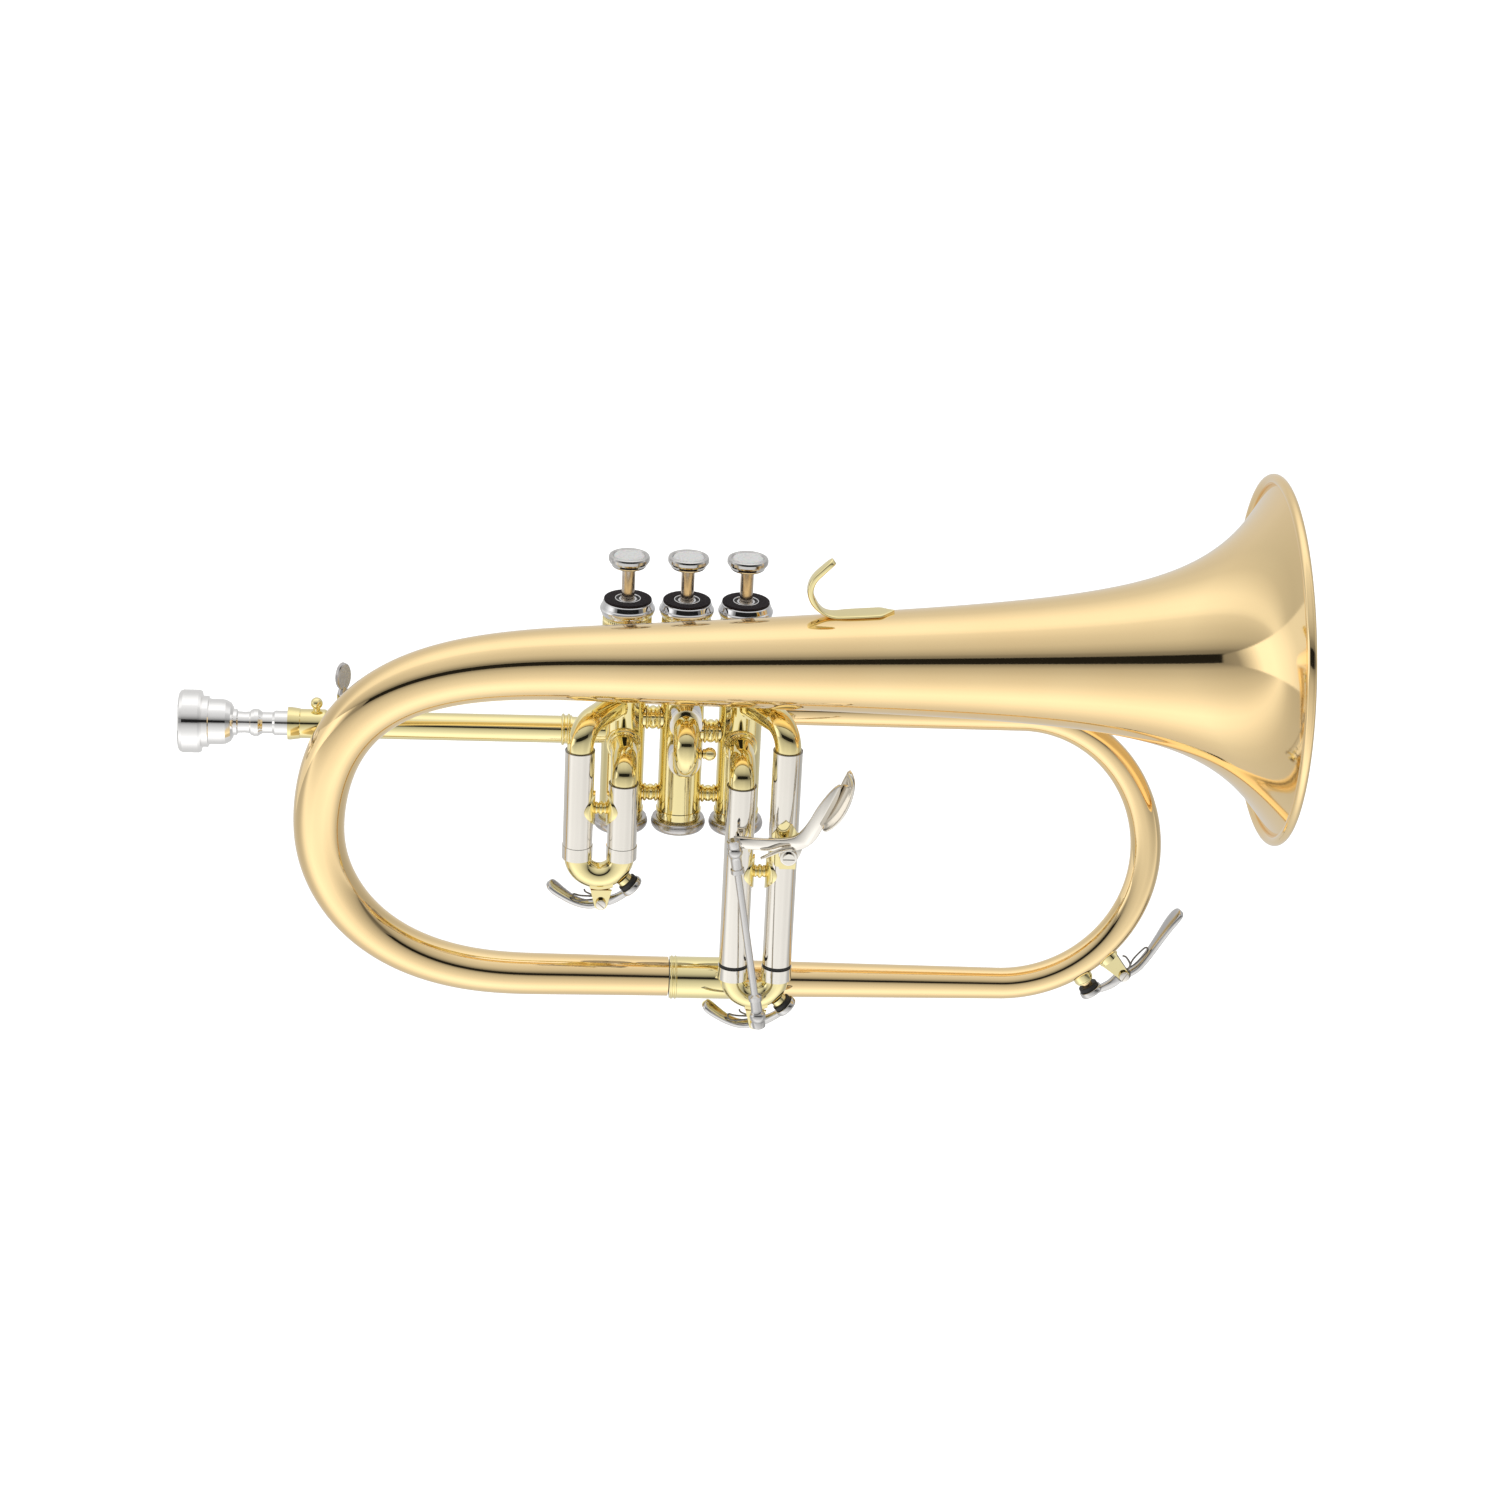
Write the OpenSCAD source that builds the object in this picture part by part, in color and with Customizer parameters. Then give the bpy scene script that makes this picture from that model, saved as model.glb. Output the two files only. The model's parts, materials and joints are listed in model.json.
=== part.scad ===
// B flat flugelhorn: conical bell loop, three piston valves, slides, third slide trigger and water keys.
// Frame: +X points from the mouthpiece to the bell, +Z points up along the valves towards the finger buttons.
// +Y is the player's left. The origin is on the second valve's axis at the height of the leadpipe's bore.
// All lengths are in millimetres.

/* [Valves] */
// Distance between neighbouring valve axes
valve_pitch = 24.2; // [23.8:0.1:24.8]
// Outer diameter of a valve casing
casing_d = 18; // [17.8:0.1:18.2]
// Inner diameter of a valve casing
casing_bore = 16.6; // [16.2:0.1:16.8]
// Height of the finger buttons' top face
button_top = 78.3; // [78:0.1:80]

/* [Tubing] */
// Outer diameter of the knuckles, bows and crossover tubes
knuckle_d = 10.8; // [10.4:0.1:11]
// Outer diameter of the outer slide legs
leg_d = 12.2; // [12:0.1:12.4]
// Outer diameter of the inner slide legs
inner_leg_d = 11.4; // [11.2:0.1:11.5]
// Distance between the two legs of a slide
leg_spacing = 18.2; // [18:0.1:18.6]
// Distance from the valve plane to the plane of the first and third slides
slide_reach = 30.5; // [30.4:0.1:31.5]
// Radial running clearance of everything that slides or turns
clearance = 0.05; // [0.03:0.01:0.08]

/* [Bell] */
// Radius of the bell at its rim
rim_r = 75.2; // [74:0.2:77]
// Distance along the bell's axis from the second valve to the rim
rim_x = 241; // [240:1:244]
// Wall of the bell and of its bow
bell_wall = 0.7; // [0.6:0.1:0.9]

/* [Leadpipe] */
// Outer diameter of the leadpipe's outer tube
leadpipe_d = 11.4; // [11.2:0.1:11.6]
// Position of the receiver's mouth
receiver_x = -162.6; // [-163:0.1:-162]
// Radius of the mouthpiece's rim
mouthpiece_r = 13; // [12.6:0.1:13.4]

/* [Hidden] */
$fn = 64;
casing_r = casing_d / 2;
bore_r = casing_bore / 2;
piston_r = bore_r - clearance;
knuckle_r = knuckle_d / 2;
knuckle_bore_r = knuckle_r - 0.6;
leg_r = leg_d / 2;
sleeve_r = leg_r + 0.25;
inner_leg_r = inner_leg_d / 2;
leg_bore_r = inner_leg_r + clearance;
leadpipe_r = leadpipe_d / 2;

// valve stack
casing_bottom = -41;
casing_top = 54.6;
cap_bead_z = 54.9;
cap_bead_r = 11.3;
cap_top = 58.4;
felt_top = 59.3;
stem_r = 2.7;
piston_bottom = -14;
piston_top = 38;
button_r = 8.4;
pearl_r = 6.4;
brace_z = -27.6;
bell_brace_z = 41;

// heights of the ports on the casings
lead_z = 0;
cross12_z = 6.5;
cross23_z = 0.8;
crook_z = 10.8;
low_port_z = -2.2;
high_port1_z = 14.3;
high_port3_z = 16.2;
low_bend_r = 7.8;
high_bend_r = 10;

// second slide
slide2_x = 0.8;
slide2_mid_z = 3.4;
slide2_half = 8.2;
slide2_collar_y = -16.4;
slide2_end_y = -20;
slide2_r = 6.7;
slide2_inner_r = 5.75;

// first and third slides
slide1_ring_z = -38;
slide1_sleeve_end = -43.8;
slide1_bend_z = -42.9;
slide1_brace_z = -21.4;
slide3_ring_z = -90.8;
slide3_sleeve_end = -98;
slide3_bend_z = -97.6;
slide3_brace_z = -48.6;
inner_leg_length = 24;
collar = 3;

// bell loop: its plane holds the bell's axis and leans back towards the valves at the bottom
loop_origin = [0, -29.35, 43.1];
loop_yaw = 1.3;
loop_lean = 5.55;
bell_rise = 1.33;
flare_start = -13.5;
flare_pole = 343;
flare_power = 3.93;
flare_gain = 48.8;
rim_wire_r = 1.3;
bow_in_r = 8.3;
ferrule_x0 = -1.7;
ferrule_x1 = 30.5;
ferrule_y = -14.8;
ferrule_z = -106.8;
ferrule_r = 8.85;

// crook between the third valve and the bow's ferrule
crook_bend_x = 138.3;
crook_valve_r = 5.9;
crook_bend_r = 6.6;
crook_upper_r = 6.3;
crook_square = 3.56;
crook_ferrule_r = 7.75;
crook_wall = 0.6;
crook_half = norm([ferrule_y, crook_z - ferrule_z]) / 2;
crook_lean = atan2(-ferrule_y, crook_z - ferrule_z);

// water keys on the slide bows, measured from the bow's bend centre
key_pivot = [1.2, -20.4];
key_angle = -45;
key_w = 4.4;
key_pin_r = 0.9;
nipple_r = 3.3;
nipple_h = 1.7;
pad_r = 4.1;
pad_h = 2.8;
cup_r = 4.9;
// water key on the crook, measured from the crook's bend centre
bend_key_angle = -57;
bend_pivot_angle = -45.2;
bend_pivot_r = 75.6;
bend_nipple_end = 70.4;

// third slide trigger
trigger_pivot = [44, -36.4];
lever_ball = [21.6, -32.6];
slide_ball = [34.4, -108.3];
lever_y0 = -42.2;
lever_y1 = -40;
link_y = -46;
trigger_pin_r = 1.5;
ball_r = 2.1;
ball_end_r = 3.4;
socket_slack = 0.55;

rose_brass = [0.88, 0.70, 0.45];
yellow_brass = [0.86, 0.74, 0.34];
nickel = [0.86, 0.84, 0.80];
chrome = [0.80, 0.80, 0.82];
steel = [0.62, 0.62, 0.64];
felt_black = [0.10, 0.08, 0.10];
rubber_black = [0.06, 0.06, 0.06];
pearl_white = [0.90, 0.90, 0.88];

function valve_x(i) = (i - 2) * valve_pitch;
slide1_x = valve_x(1) - leg_spacing / 2;
slide3_x = valve_x(3) + leg_spacing / 2;

// ---------- shared shapes ----------

module tube(r, bore, h) {
    difference() {
        cylinder(r = r, h = h);
        translate([0, 0, -1]) cylinder(r = bore, h = h + 2);
    }
}

// turns +Z into +X
module along_x() {
    rotate([0, 90, 0]) children();
}

// turns +Z into -Y
module along_front() {
    rotate([90, 0, 0]) children();
}

// tube bent round the Z axis, starting at +X
module tube_arc(bend_r, r, bore, angle) {
    rotate_extrude(angle = angle) translate([bend_r, 0]) difference() {
        circle(r = r);
        circle(r = bore);
    }
}

function unit(v) = v / norm(v);
function bezier(p, t) = pow(1 - t, 3) * p[0] + 3 * t * pow(1 - t, 2) * p[1]
    + 3 * t * t * (1 - t) * p[2] + pow(t, 3) * p[3];
function path_dir(path, i) = unit(path[min(i + 1, len(path) - 1)] - path[max(i - 1, 0)]);

// outline of a flat strip of changing width along a path
function strip(path, widths) = concat(
    [for (i = [0 : len(path) - 1]) let (d = path_dir(path, i)) path[i] + [-d[1], d[0]] * widths[i] / 2],
    [for (i = [len(path) - 1 : -1 : 0]) let (d = path_dir(path, i)) path[i] - [-d[1], d[0]] * widths[i] / 2]
);

// flat plate drawn in X and Z, from y0 back to y1
module plate(y0, y1) {
    translate([0, y1, 0]) rotate([90, 0, 0]) linear_extrude(height = y1 - y0) children();
}

module turned(profile) {
    rotate_extrude() polygon(profile);
}

// ---------- bell loop ----------

module in_loop() {
    translate(loop_origin) rotate([0, 0, loop_yaw]) rotate([loop_lean, 0, 0]) children();
}

module on_bell_axis() {
    in_loop() rotate([0, 90 - bell_rise, 0]) children();
}

function flare_shape(x) = 16.7 + 0.04 * x
    + flare_gain * pow((flare_pole - 242) / (flare_pole - x), flare_power);
function bell_r(x) = flare_shape(x * 242 / rim_x) * rim_r / flare_shape(242);

module bell_flare() {
    steps = 34;
    wall = [for (i = [0 : steps]) let (x = flare_start + (rim_x - flare_start) * (1 - pow(1 - i / steps, 1.7)))
        [bell_r(x), x]];
    inside = [for (i = [steps : -1 : 0]) wall[i] - [bell_wall, 0] + [0, i == 0 ? 0 : bell_wall * 0.4]];
    color(rose_brass) on_bell_axis() rotate_extrude($fn = 96) {
        polygon(concat(wall, inside));
        translate([rim_r - 0.3, rim_x + 0.1]) circle(r = rim_wire_r, $fn = 24);
    }
}

bow_straight = [for (i = [0 : 7]) [-2 - 60 * i / 7, -150.2 + 0.9 * i / 7]];
bow_lower = [for (i = [1 : 20]) bezier([[-62, -149.3], [-136, -148.5], [-148.4, -97.2], [-148.4, -80.3]], i / 20)];
bow_upper = [for (i = [1 : 30]) bezier([[-148.4, -80.3], [-148.4, 5], [-73.4, -1.7], [-13.52, -0.3]], i / 30)];
bow_path = concat(bow_straight, bow_lower, bow_upper);

function path_length(i) = i == 0 ? 0 : path_length(i - 1) + norm(bow_path[i] - bow_path[i - 1]);

// ring of points round the bow's path: c is the centre, d the direction of the path
function ring(c, d, r, sides) = [for (k = [0 : sides - 1]) let (a = 360 * k / sides)
    [c[0] - d[1] * r * cos(a), r * sin(a), c[1] + d[0] * r * cos(a)]];

module bell_bow() {
    sides = 32;
    n = len(bow_path);
    m = n * sides;
    total = path_length(n - 1);
    end_r = bell_r(flare_start);
    function bow_r(i) = let (t = path_length(i) / total)
        bow_in_r + (end_r - bow_in_r) * (0.35 * t + 0.65 * pow(t, 3));
    outer = [for (i = [0 : n - 1]) each ring(bow_path[i], path_dir(bow_path, i), bow_r(i), sides)];
    inner = [for (i = [0 : n - 1]) each ring(bow_path[i], path_dir(bow_path, i), bow_r(i) - bell_wall, sides)];
    walls = [for (i = [0 : n - 2]) for (k = [0 : sides - 1])
        let (a = i * sides + k, b = i * sides + (k + 1) % sides)
        each [[a, b, b + sides, a + sides], [m + a, m + a + sides, m + b + sides, m + b]]];
    start_face = [for (k = [0 : sides - 1]) let (j = (k + 1) % sides) [k, m + k, m + j, j]];
    end_face = [for (k = [0 : sides - 1]) let (j = (k + 1) % sides, e = (n - 1) * sides)
        [e + k, e + j, m + e + j, m + e + k]];
    color(rose_brass) in_loop()
        polyhedron(points = concat(outer, inner), faces = concat(walls, start_face, end_face), convexity = 6);
}

module bow_ferrule() {
    color(yellow_brass) translate([ferrule_x0, ferrule_y, ferrule_z]) along_x() {
        tube(ferrule_r, crook_ferrule_r, ferrule_x1 - ferrule_x0);
        for (z = [1, 2.6]) translate([0, 0, z]) rotate_extrude() translate([ferrule_r - 0.1, 0]) circle(r = 0.5, $fn = 16);
        translate([0, 0, ferrule_x1 - ferrule_x0 - 1]) tube(ferrule_r + 0.3, ferrule_r, 1);
    }
}

// plane of the crook: X along the horn, Z from the lower tube to the upper one, centred between them
module in_crook() {
    translate([0, ferrule_y / 2, (crook_z + ferrule_z) / 2]) rotate([-crook_lean, 0, 0]) children();
}

// conical tube along +Z
module taper(r1, r2, h) {
    difference() {
        cylinder(r1 = r1, r2 = r2, h = h);
        cylinder(r1 = r1 - crook_wall, r2 = r2 - crook_wall, h = h);
    }
}

module crook() {
    low_length = crook_bend_x - ferrule_x1;
    high_length = crook_bend_x + crook_square - valve_x(3);
    color(rose_brass) difference() {
        in_crook() {
            translate([ferrule_x1, 0, -crook_half]) along_x()
                taper(crook_ferrule_r, crook_bend_r, low_length);
            translate([crook_bend_x, 0, 0]) rotate([90, 0, 0]) rotate([0, 0, -90])
                tube_arc(crook_half, crook_bend_r, crook_bend_r - crook_wall, 90);
            translate([crook_bend_x + crook_half, 0, 0]) taper(crook_bend_r, crook_upper_r, crook_square);
            translate([crook_bend_x + crook_square, 0, crook_square]) rotate([90, 0, 0])
                tube_arc(crook_half - crook_square, crook_upper_r, crook_upper_r - crook_wall, 90);
            translate([valve_x(3), 0, crook_half]) along_x()
                taper(crook_valve_r, crook_upper_r, high_length);
            crook_radial(bend_key_angle, crook_half + crook_bend_r - 0.3)
                tube(nipple_r, nipple_r - 0.9, bend_nipple_end - crook_half - crook_bend_r + 0.3);
        }
        translate([valve_x(3), 0, -20]) cylinder(r = casing_r, h = 60);
    }
}

// frame at radius r from the crook's bend centre with +Z pointing outwards
module crook_radial(angle, r) {
    translate([crook_bend_x, 0, 0]) rotate([0, 90 - angle, 0]) translate([0, 0, r]) children();
}

module finger_hook() {
    x0 = 47.6;
    length = 35.4;
    inside_r = [bell_r(x0), bell_r(x0 + length)];
    leaf = [[6, -2.8], [11, -4.2], [28.6, -4.6], [34.7, 0.4], [29, 5], [11, 5], [6, 4]];
    hook = [for (i = [0 : 14]) bezier([[57.4, 63.5], [45.8, 66.5], [45.6, 80.6], [57.6, 86.8]], i / 14)];
    color(yellow_brass) {
        on_bell_axis() translate([0, 0, x0]) intersection() {
            difference() {
                cylinder(r1 = inside_r[0] + 1, r2 = inside_r[1] + 1, h = length);
                translate([0, 0, -0.01]) cylinder(r1 = inside_r[0], r2 = inside_r[1], h = length + 0.02);
            }
            rotate([0, -90, 0]) linear_extrude(height = 40) polygon(leaf);
        }
        difference() {
            translate([0, loop_origin[1] + 1.2, 0]) plate(-3.2, 3.2)
                polygon(strip(hook, [for (i = [0 : 14]) i < 2 ? 3.4 - i * 0.8 : 1.8]));
            on_bell_axis() translate([0, 0, x0 - 10])
                cylinder(r1 = bell_r(x0 - 10) + 0.4, r2 = bell_r(x0 + length) + 0.4, h = length + 10);
        }
    }
}

module bell_braces() {
    color(yellow_brass) difference() {
        for (x = [valve_x(1), valve_x(3)]) translate([x, 0, bell_brace_z]) along_front() {
            cylinder(r = 2.2, h = 16);
            cylinder(r = 4.5, h = casing_r + 0.7);
        }
        for (x = [valve_x(1), valve_x(3)]) translate([x, 0, 0]) cylinder(r = casing_r, h = 60);
        on_bell_axis() translate([0, 0, -40]) cylinder(r1 = bell_r(-40) - 0.2, r2 = bell_r(40) - 0.2, h = 80);
    }
}

// ---------- leadpipe, receiver and mouthpiece ----------

module leadpipe_outer() {
    x0 = -146.4;
    color(yellow_brass) difference() {
        along_x() {
            translate([0, 0, x0]) tube(leadpipe_r + 0.3, 5, 2);
            translate([0, 0, x0 + 2]) tube(leadpipe_r, 5, -49.6 - x0 - 2);
            translate([0, 0, -49.6]) tube(leadpipe_r + 0.25, knuckle_bore_r, 4.1);
            translate([0, 0, -45.5]) tube(knuckle_r, knuckle_bore_r, 45.5 + valve_x(1));
        }
        translate([valve_x(1), 0, -20]) cylinder(r = casing_r, h = 40);
    }
}

module leadpipe_clamp() {
    color(yellow_brass) {
        difference() {
            union() {
                translate([-143, 0, 0]) along_x() cylinder(r = 7.6, h = 6);
                translate([-140, 0, 0]) cylinder(r = 2.6, h = 13.2);
                translate([-140, 0, 0]) along_front() cylinder(r = 2, h = 15.6);
                translate([-140, -13.4, 0]) along_front() cylinder(r1 = 3, r2 = 5.4, h = 2.4);
            }
            translate([-150, 0, 0]) along_x() cylinder(r = leadpipe_r, h = 20);
            translate([-140, 0, 0]) cylinder(r = 1.3, h = 20);
        }
    }
}

module wing_screw() {
    color(nickel) translate([-140, 0, 0]) {
        translate([0, 0, 6.1]) cylinder(r = 1.3 - clearance, h = 7.2);
        translate([0, 0, 13.3]) cylinder(r1 = 2.4, r2 = 1.7, h = 3);
        translate([0, 0, 16.2]) cylinder(r1 = 1.7, r2 = 1.2, h = 2.6);
        translate([0, 0.9, 21.6]) rotate([90, 0, 0]) linear_extrude(height = 1.8)
            polygon([for (k = [0 : 31]) [3.2 * cos(k * 360 / 32), 6 * sin(k * 360 / 32)]]);
    }
}

module receiver() {
    x0 = receiver_x;
    color(yellow_brass) {
        translate([x0, 0, 0]) along_x() difference() {
            turned([[0, 0], [6.8, 0], [6.8, 1.4], [6.3, 4.9], [6.1, 5.2], [6.1, 15.2], [5.7, 15.9],
                [4.95, 16.1], [4.95, 56], [0, 56]]);
            translate([0, 0, -0.01]) cylinder(r1 = 5.15, r2 = 4.3, h = 24.01);
            cylinder(r = 4.2, h = 60);
        }
        translate([x0 + 11.8, 0, 5.7]) cylinder(r = 1.5, h = 2.4);
        translate([x0 + 11.8, 0, 9.2]) sphere(r = 2.5);
    }
}

module mouthpiece() {
    rim_face = -207.3;
    r = mouthpiece_r;
    color(chrome) translate([rim_face, 0, 0]) along_x() turned([
        [8.7, 1.2], [9.6, 0.4], [10.6, 0], [11.6, 0.1], [12.5, 0.7], [r, 1.9], [r, 8.4], [12.6, 9.4],
        [10.6, 9.8], [10.6, 12.2], [9.6, 12.5], [9.4, 13.4], [9.4, 17.5], [9.1, 19.4], [8, 21.4], [6.2, 22.4],
        [5.4, 22.5], [5.4, 23.8], [4.5, 24.3], [4.3, 27], [4.5, 29], [5.2, 29.6], [5.7, 31], [5.6, 32.6],
        [4.9, 33.6], [4.4, 34.4], [4.4, 38.4], [5.1, 39.4], [5.1, 44.7], [5.05, 44.7], [4.25, 66.2],
        [3.6, 66.2], [1.8, 30], [1.8, 27], [3, 22], [5.8, 15], [7.6, 8]
    ]);
}

// ---------- valves ----------

// hole through a casing wall in the direction given by an angle from +X
module port(angle, z, offset) {
    translate([offset, 0, z]) rotate([0, 0, angle]) along_x() cylinder(r = knuckle_bore_r, h = 20);
}

module casing(i) {
    color(yellow_brass) translate([valve_x(i), 0, 0]) difference() {
        union() {
            translate([0, 0, casing_bottom]) cylinder(r = casing_r, h = casing_top - casing_bottom);
            translate([0, 0, 46.6]) cylinder(r = casing_r + 0.7, h = 5.6);
            translate([0, 0, -35.4]) cylinder(r = casing_r + 0.4, h = 1.2);
        }
        translate([0, 0, casing_bottom - 1]) cylinder(r = bore_r, h = 120);
        children();
    }
}

module casing_1() {
    casing(1) {
        port(180, lead_z, 0);
        port(0, cross12_z, 0);
        port(-90, low_port_z, 0);
        port(atan2(-slide_reach, -leg_spacing), high_port1_z, 0);
    }
}

module casing_2() {
    casing(2) {
        port(180, cross12_z, 0);
        port(0, cross23_z, 0);
        port(-90, slide2_mid_z + slide2_half, slide2_x);
        port(-90, slide2_mid_z - slide2_half, slide2_x);
    }
}

module casing_3() {
    casing(3) {
        port(180, cross23_z, 0);
        port(0, crook_z, 0);
        port(-90, low_port_z, 0);
        port(atan2(-slide_reach, leg_spacing), high_port3_z, 0);
    }
}

module crossover_tubes() {
    color(yellow_brass) difference() {
        for (p = [[1, cross12_z], [2, cross23_z]]) translate([valve_x(p[0]), 0, p[1]]) along_x()
            tube(knuckle_r, knuckle_bore_r, valve_pitch);
        for (i = [1 : 3]) translate([valve_x(i), 0, -20]) cylinder(r = casing_r, h = 40);
    }
}

module casing_braces() {
    gap = valve_pitch - casing_d;
    color(yellow_brass) difference() {
        for (i = [1, 2]) translate([valve_x(i) + valve_pitch / 2, 0, brace_z]) along_x() {
            cylinder(r = 2.2, h = gap + 2, center = true);
            for (k = [-1, 0, 1]) translate([0, 0, k * 2.2]) cylinder(r = 3.6, h = 1.2, center = true);
        }
        for (i = [1 : 3]) translate([valve_x(i), 0, -50]) cylinder(r = casing_r, h = 100);
    }
}

module top_caps() {
    color(chrome) for (i = [1 : 3]) translate([valve_x(i), 0, 0]) turned([
        [casing_r, 52.4], [10.6, 52.4], [10.7, 53.2], [cap_bead_r - 0.2, 53.7], [cap_bead_r, cap_bead_z],
        [cap_bead_r - 0.3, 55.7], [10.9, 56.1], [10, cap_top - 0.3], [9.7, cap_top],
        [stem_r + 0.5, cap_top], [stem_r + clearance, cap_top], [stem_r + clearance, casing_top + 1],
        [casing_r - 0.2, casing_top + 1], [casing_r - 0.2, casing_top], [casing_r, casing_top]
    ]);
}

module cap_felts() {
    color(felt_black) for (i = [1 : 3]) translate([valve_x(i), 0, cap_top]) tube(9.8, 3.3, felt_top - cap_top);
}

module bottom_caps() {
    floor_z = casing_bottom;
    color(nickel) for (i = [1 : 3]) translate([valve_x(i), 0, 0]) turned([
        [casing_r, -36.4], [9.9, -36.4], [10.2, -37.4], [10.2, -38.2], [10.8, -38.8], [11.2, -40.2], [11.2, -41.4],
        [10.9, -42.4], [10.2, -43], [9.2, -43.3], [6.4, -43.4], [5.8, -43.1], [1.5, -43.1], [1.5, floor_z - 0.6],
        [8.6, floor_z - 0.6], [8.6, floor_z], [casing_r, floor_z]
    ]);
}

module piston(i) {
    color(steel) translate([valve_x(i), 0, 0]) {
        difference() {
            translate([0, 0, piston_bottom]) cylinder(r = piston_r, h = piston_top - piston_bottom);
            for (z = [1, 13, 25]) translate([0, 0, z]) rotate([0, 0, 30 * z]) rotate([70, 0, 0])
                cylinder(r = 4.3, h = 40, center = true);
            translate([0, 0, piston_bottom - 1]) cylinder(r = 6.4, h = 4);
        }
        translate([0, 0, piston_top]) cylinder(r = stem_r, h = 35.4);
        translate([0, 0, piston_top]) cylinder(r = 5, h = 2);
    }
}

module piston_1() {
    piston(1);
}

module piston_2() {
    piston(2);
}

module piston_3() {
    piston(3);
}

module button(i) {
    top = button_top;
    color(chrome) translate([valve_x(i), 0, 0]) turned([
        [0, top - 4.9], [4.6, top - 4.9], [6.6, top - 5], [7, top - 4.7], [7.1, top - 4.2], [8, top - 3],
        [button_r, top - 2.2], [button_r, top - 1], [8.1, top - 0.3], [7.5, top], [6.9, top - 0.1],
        [pearl_r, top - 0.6], [pearl_r, top - 1.8], [0, top - 1.8]
    ]);
}

module button_1() {
    button(1);
}

module button_2() {
    button(2);
}

module button_3() {
    button(3);
}

module pearl(i) {
    color(pearl_white) translate([valve_x(i), 0, button_top - 1.8]) turned([
        [0, 0], [pearl_r, 0], [pearl_r, 1.1], [6, 1.5], [5, 1.7], [0, 1.7]
    ]);
}

module pearl_1() {
    pearl(1);
}

module pearl_2() {
    pearl(2);
}

module pearl_3() {
    pearl(3);
}

// coil between the bottom cap and the piston
module valve_spring(i) {
    turns = 7;
    per_turn = 18;
    sides = 6;
    wire = 0.5;
    coil_r = 5.2;
    z0 = casing_bottom + wire;
    z1 = piston_bottom + 3 - wire;
    n = turns * per_turn;
    points = [for (k = [0 : n]) for (j = [0 : sides - 1])
        let (a = 360 * k / per_turn, b = 360 * j / sides, r = coil_r + wire * cos(b))
        [r * cos(a), r * sin(a), z0 + (z1 - z0) * k / n + wire * sin(b)]];
    walls = [for (k = [0 : n - 1]) for (j = [0 : sides - 1])
        let (p = k * sides + j, q = k * sides + (j + 1) % sides)
        [p, p + sides, q + sides, q]];
    ends = [[for (j = [0 : sides - 1]) j], [for (j = [sides - 1 : -1 : 0]) n * sides + j]];
    color(steel) translate([valve_x(i), 0, 0]) polyhedron(points = points, faces = concat(walls, ends), convexity = 8);
}

module valve_spring_1() {
    valve_spring(1);
}

module valve_spring_2() {
    valve_spring(2);
}

module valve_spring_3() {
    valve_spring(3);
}

// ---------- slides ----------

// knuckle that leaves a casing along +X and turns down into a slide leg
module elbow(reach, bend_r) {
    difference() {
        union() {
            along_x() tube(knuckle_r, knuckle_bore_r, reach - bend_r);
            translate([casing_r - 1, 0, 0]) along_x() tube(knuckle_r + 0.8, knuckle_r - 0.01, 2);
        }
        translate([0, 0, -30]) cylinder(r = casing_r, h = 60);
    }
    translate([reach - bend_r, 0, -bend_r]) rotate([90, 0, 0]) tube_arc(bend_r, knuckle_r, knuckle_bore_r, 90);
    translate([reach, 0, -bend_r - collar]) tube(knuckle_r, knuckle_bore_r, collar);
}

// outer leg: collar on top round the knuckle, running bore below
module outer_leg(top, bottom) {
    translate([0, 0, top - collar]) tube(leg_r, knuckle_r, collar);
    translate([0, 0, bottom]) tube(leg_r, leg_bore_r, top - collar - bottom);
}

module outer_pair(x, high_x, ring_z, high_top) {
    low_x = 2 * x - high_x;
    low_top = low_port_z - low_bend_r;
    translate([high_x, -slide_reach, 0]) outer_leg(high_top, ring_z);
    translate([low_x, -slide_reach, 0]) outer_leg(low_top, ring_z);
}

// inner legs that run in the outer ones, with the end sleeves the bow is brazed into
module inner_pair(x, ring_z, sleeve_end) {
    for (side = [-1, 1]) translate([x + side * leg_spacing / 2, -slide_reach, 0]) {
        translate([0, 0, ring_z - 1]) tube(inner_leg_r, knuckle_bore_r, inner_leg_length);
        translate([0, 0, sleeve_end]) tube(sleeve_r, knuckle_r, ring_z - 0.05 - sleeve_end);
        translate([0, 0, ring_z - 1]) tube(sleeve_r, inner_leg_r - 0.1, 0.95);
    }
}

// U bow bent round the Y axis below its own centre, its legs going up; children are added outside
module u_bow(half, r, bore, straight) {
    difference() {
        union() {
            for (side = [-1, 1]) translate([side * half, 0, 0]) cylinder(r = r, h = straight);
            rotate([90, 0, 0]) rotate([0, 0, 180]) rotate_extrude(angle = 180) translate([half, 0]) circle(r = r);
            children();
        }
        for (side = [-1, 1]) translate([side * half, 0, 0]) cylinder(r = bore, h = straight + 1);
        rotate([90, 0, 0]) rotate([0, 0, 180]) rotate_extrude(angle = 180) translate([half, 0]) circle(r = bore);
    }
}

module bow(x, bend_z, ring_z) {
    half = leg_spacing / 2;
    translate([x, -slide_reach, bend_z]) difference() {
        u_bow(half, knuckle_r, knuckle_bore_r, ring_z - 1 - bend_z)
            slide_key_radial(half + knuckle_bore_r + 0.2) cylinder(r = nipple_r, h = nipple_h + 0.4);
        slide_key_radial(half) cylinder(r = nipple_r - 1.1, h = 12);
    }
}

// frame at radius r from the bow's bend centre with +Z pointing outwards at the water key
module slide_key_radial(r) {
    rotate([0, 90 - key_angle, 0]) translate([0, 0, r]) children();
}

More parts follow.
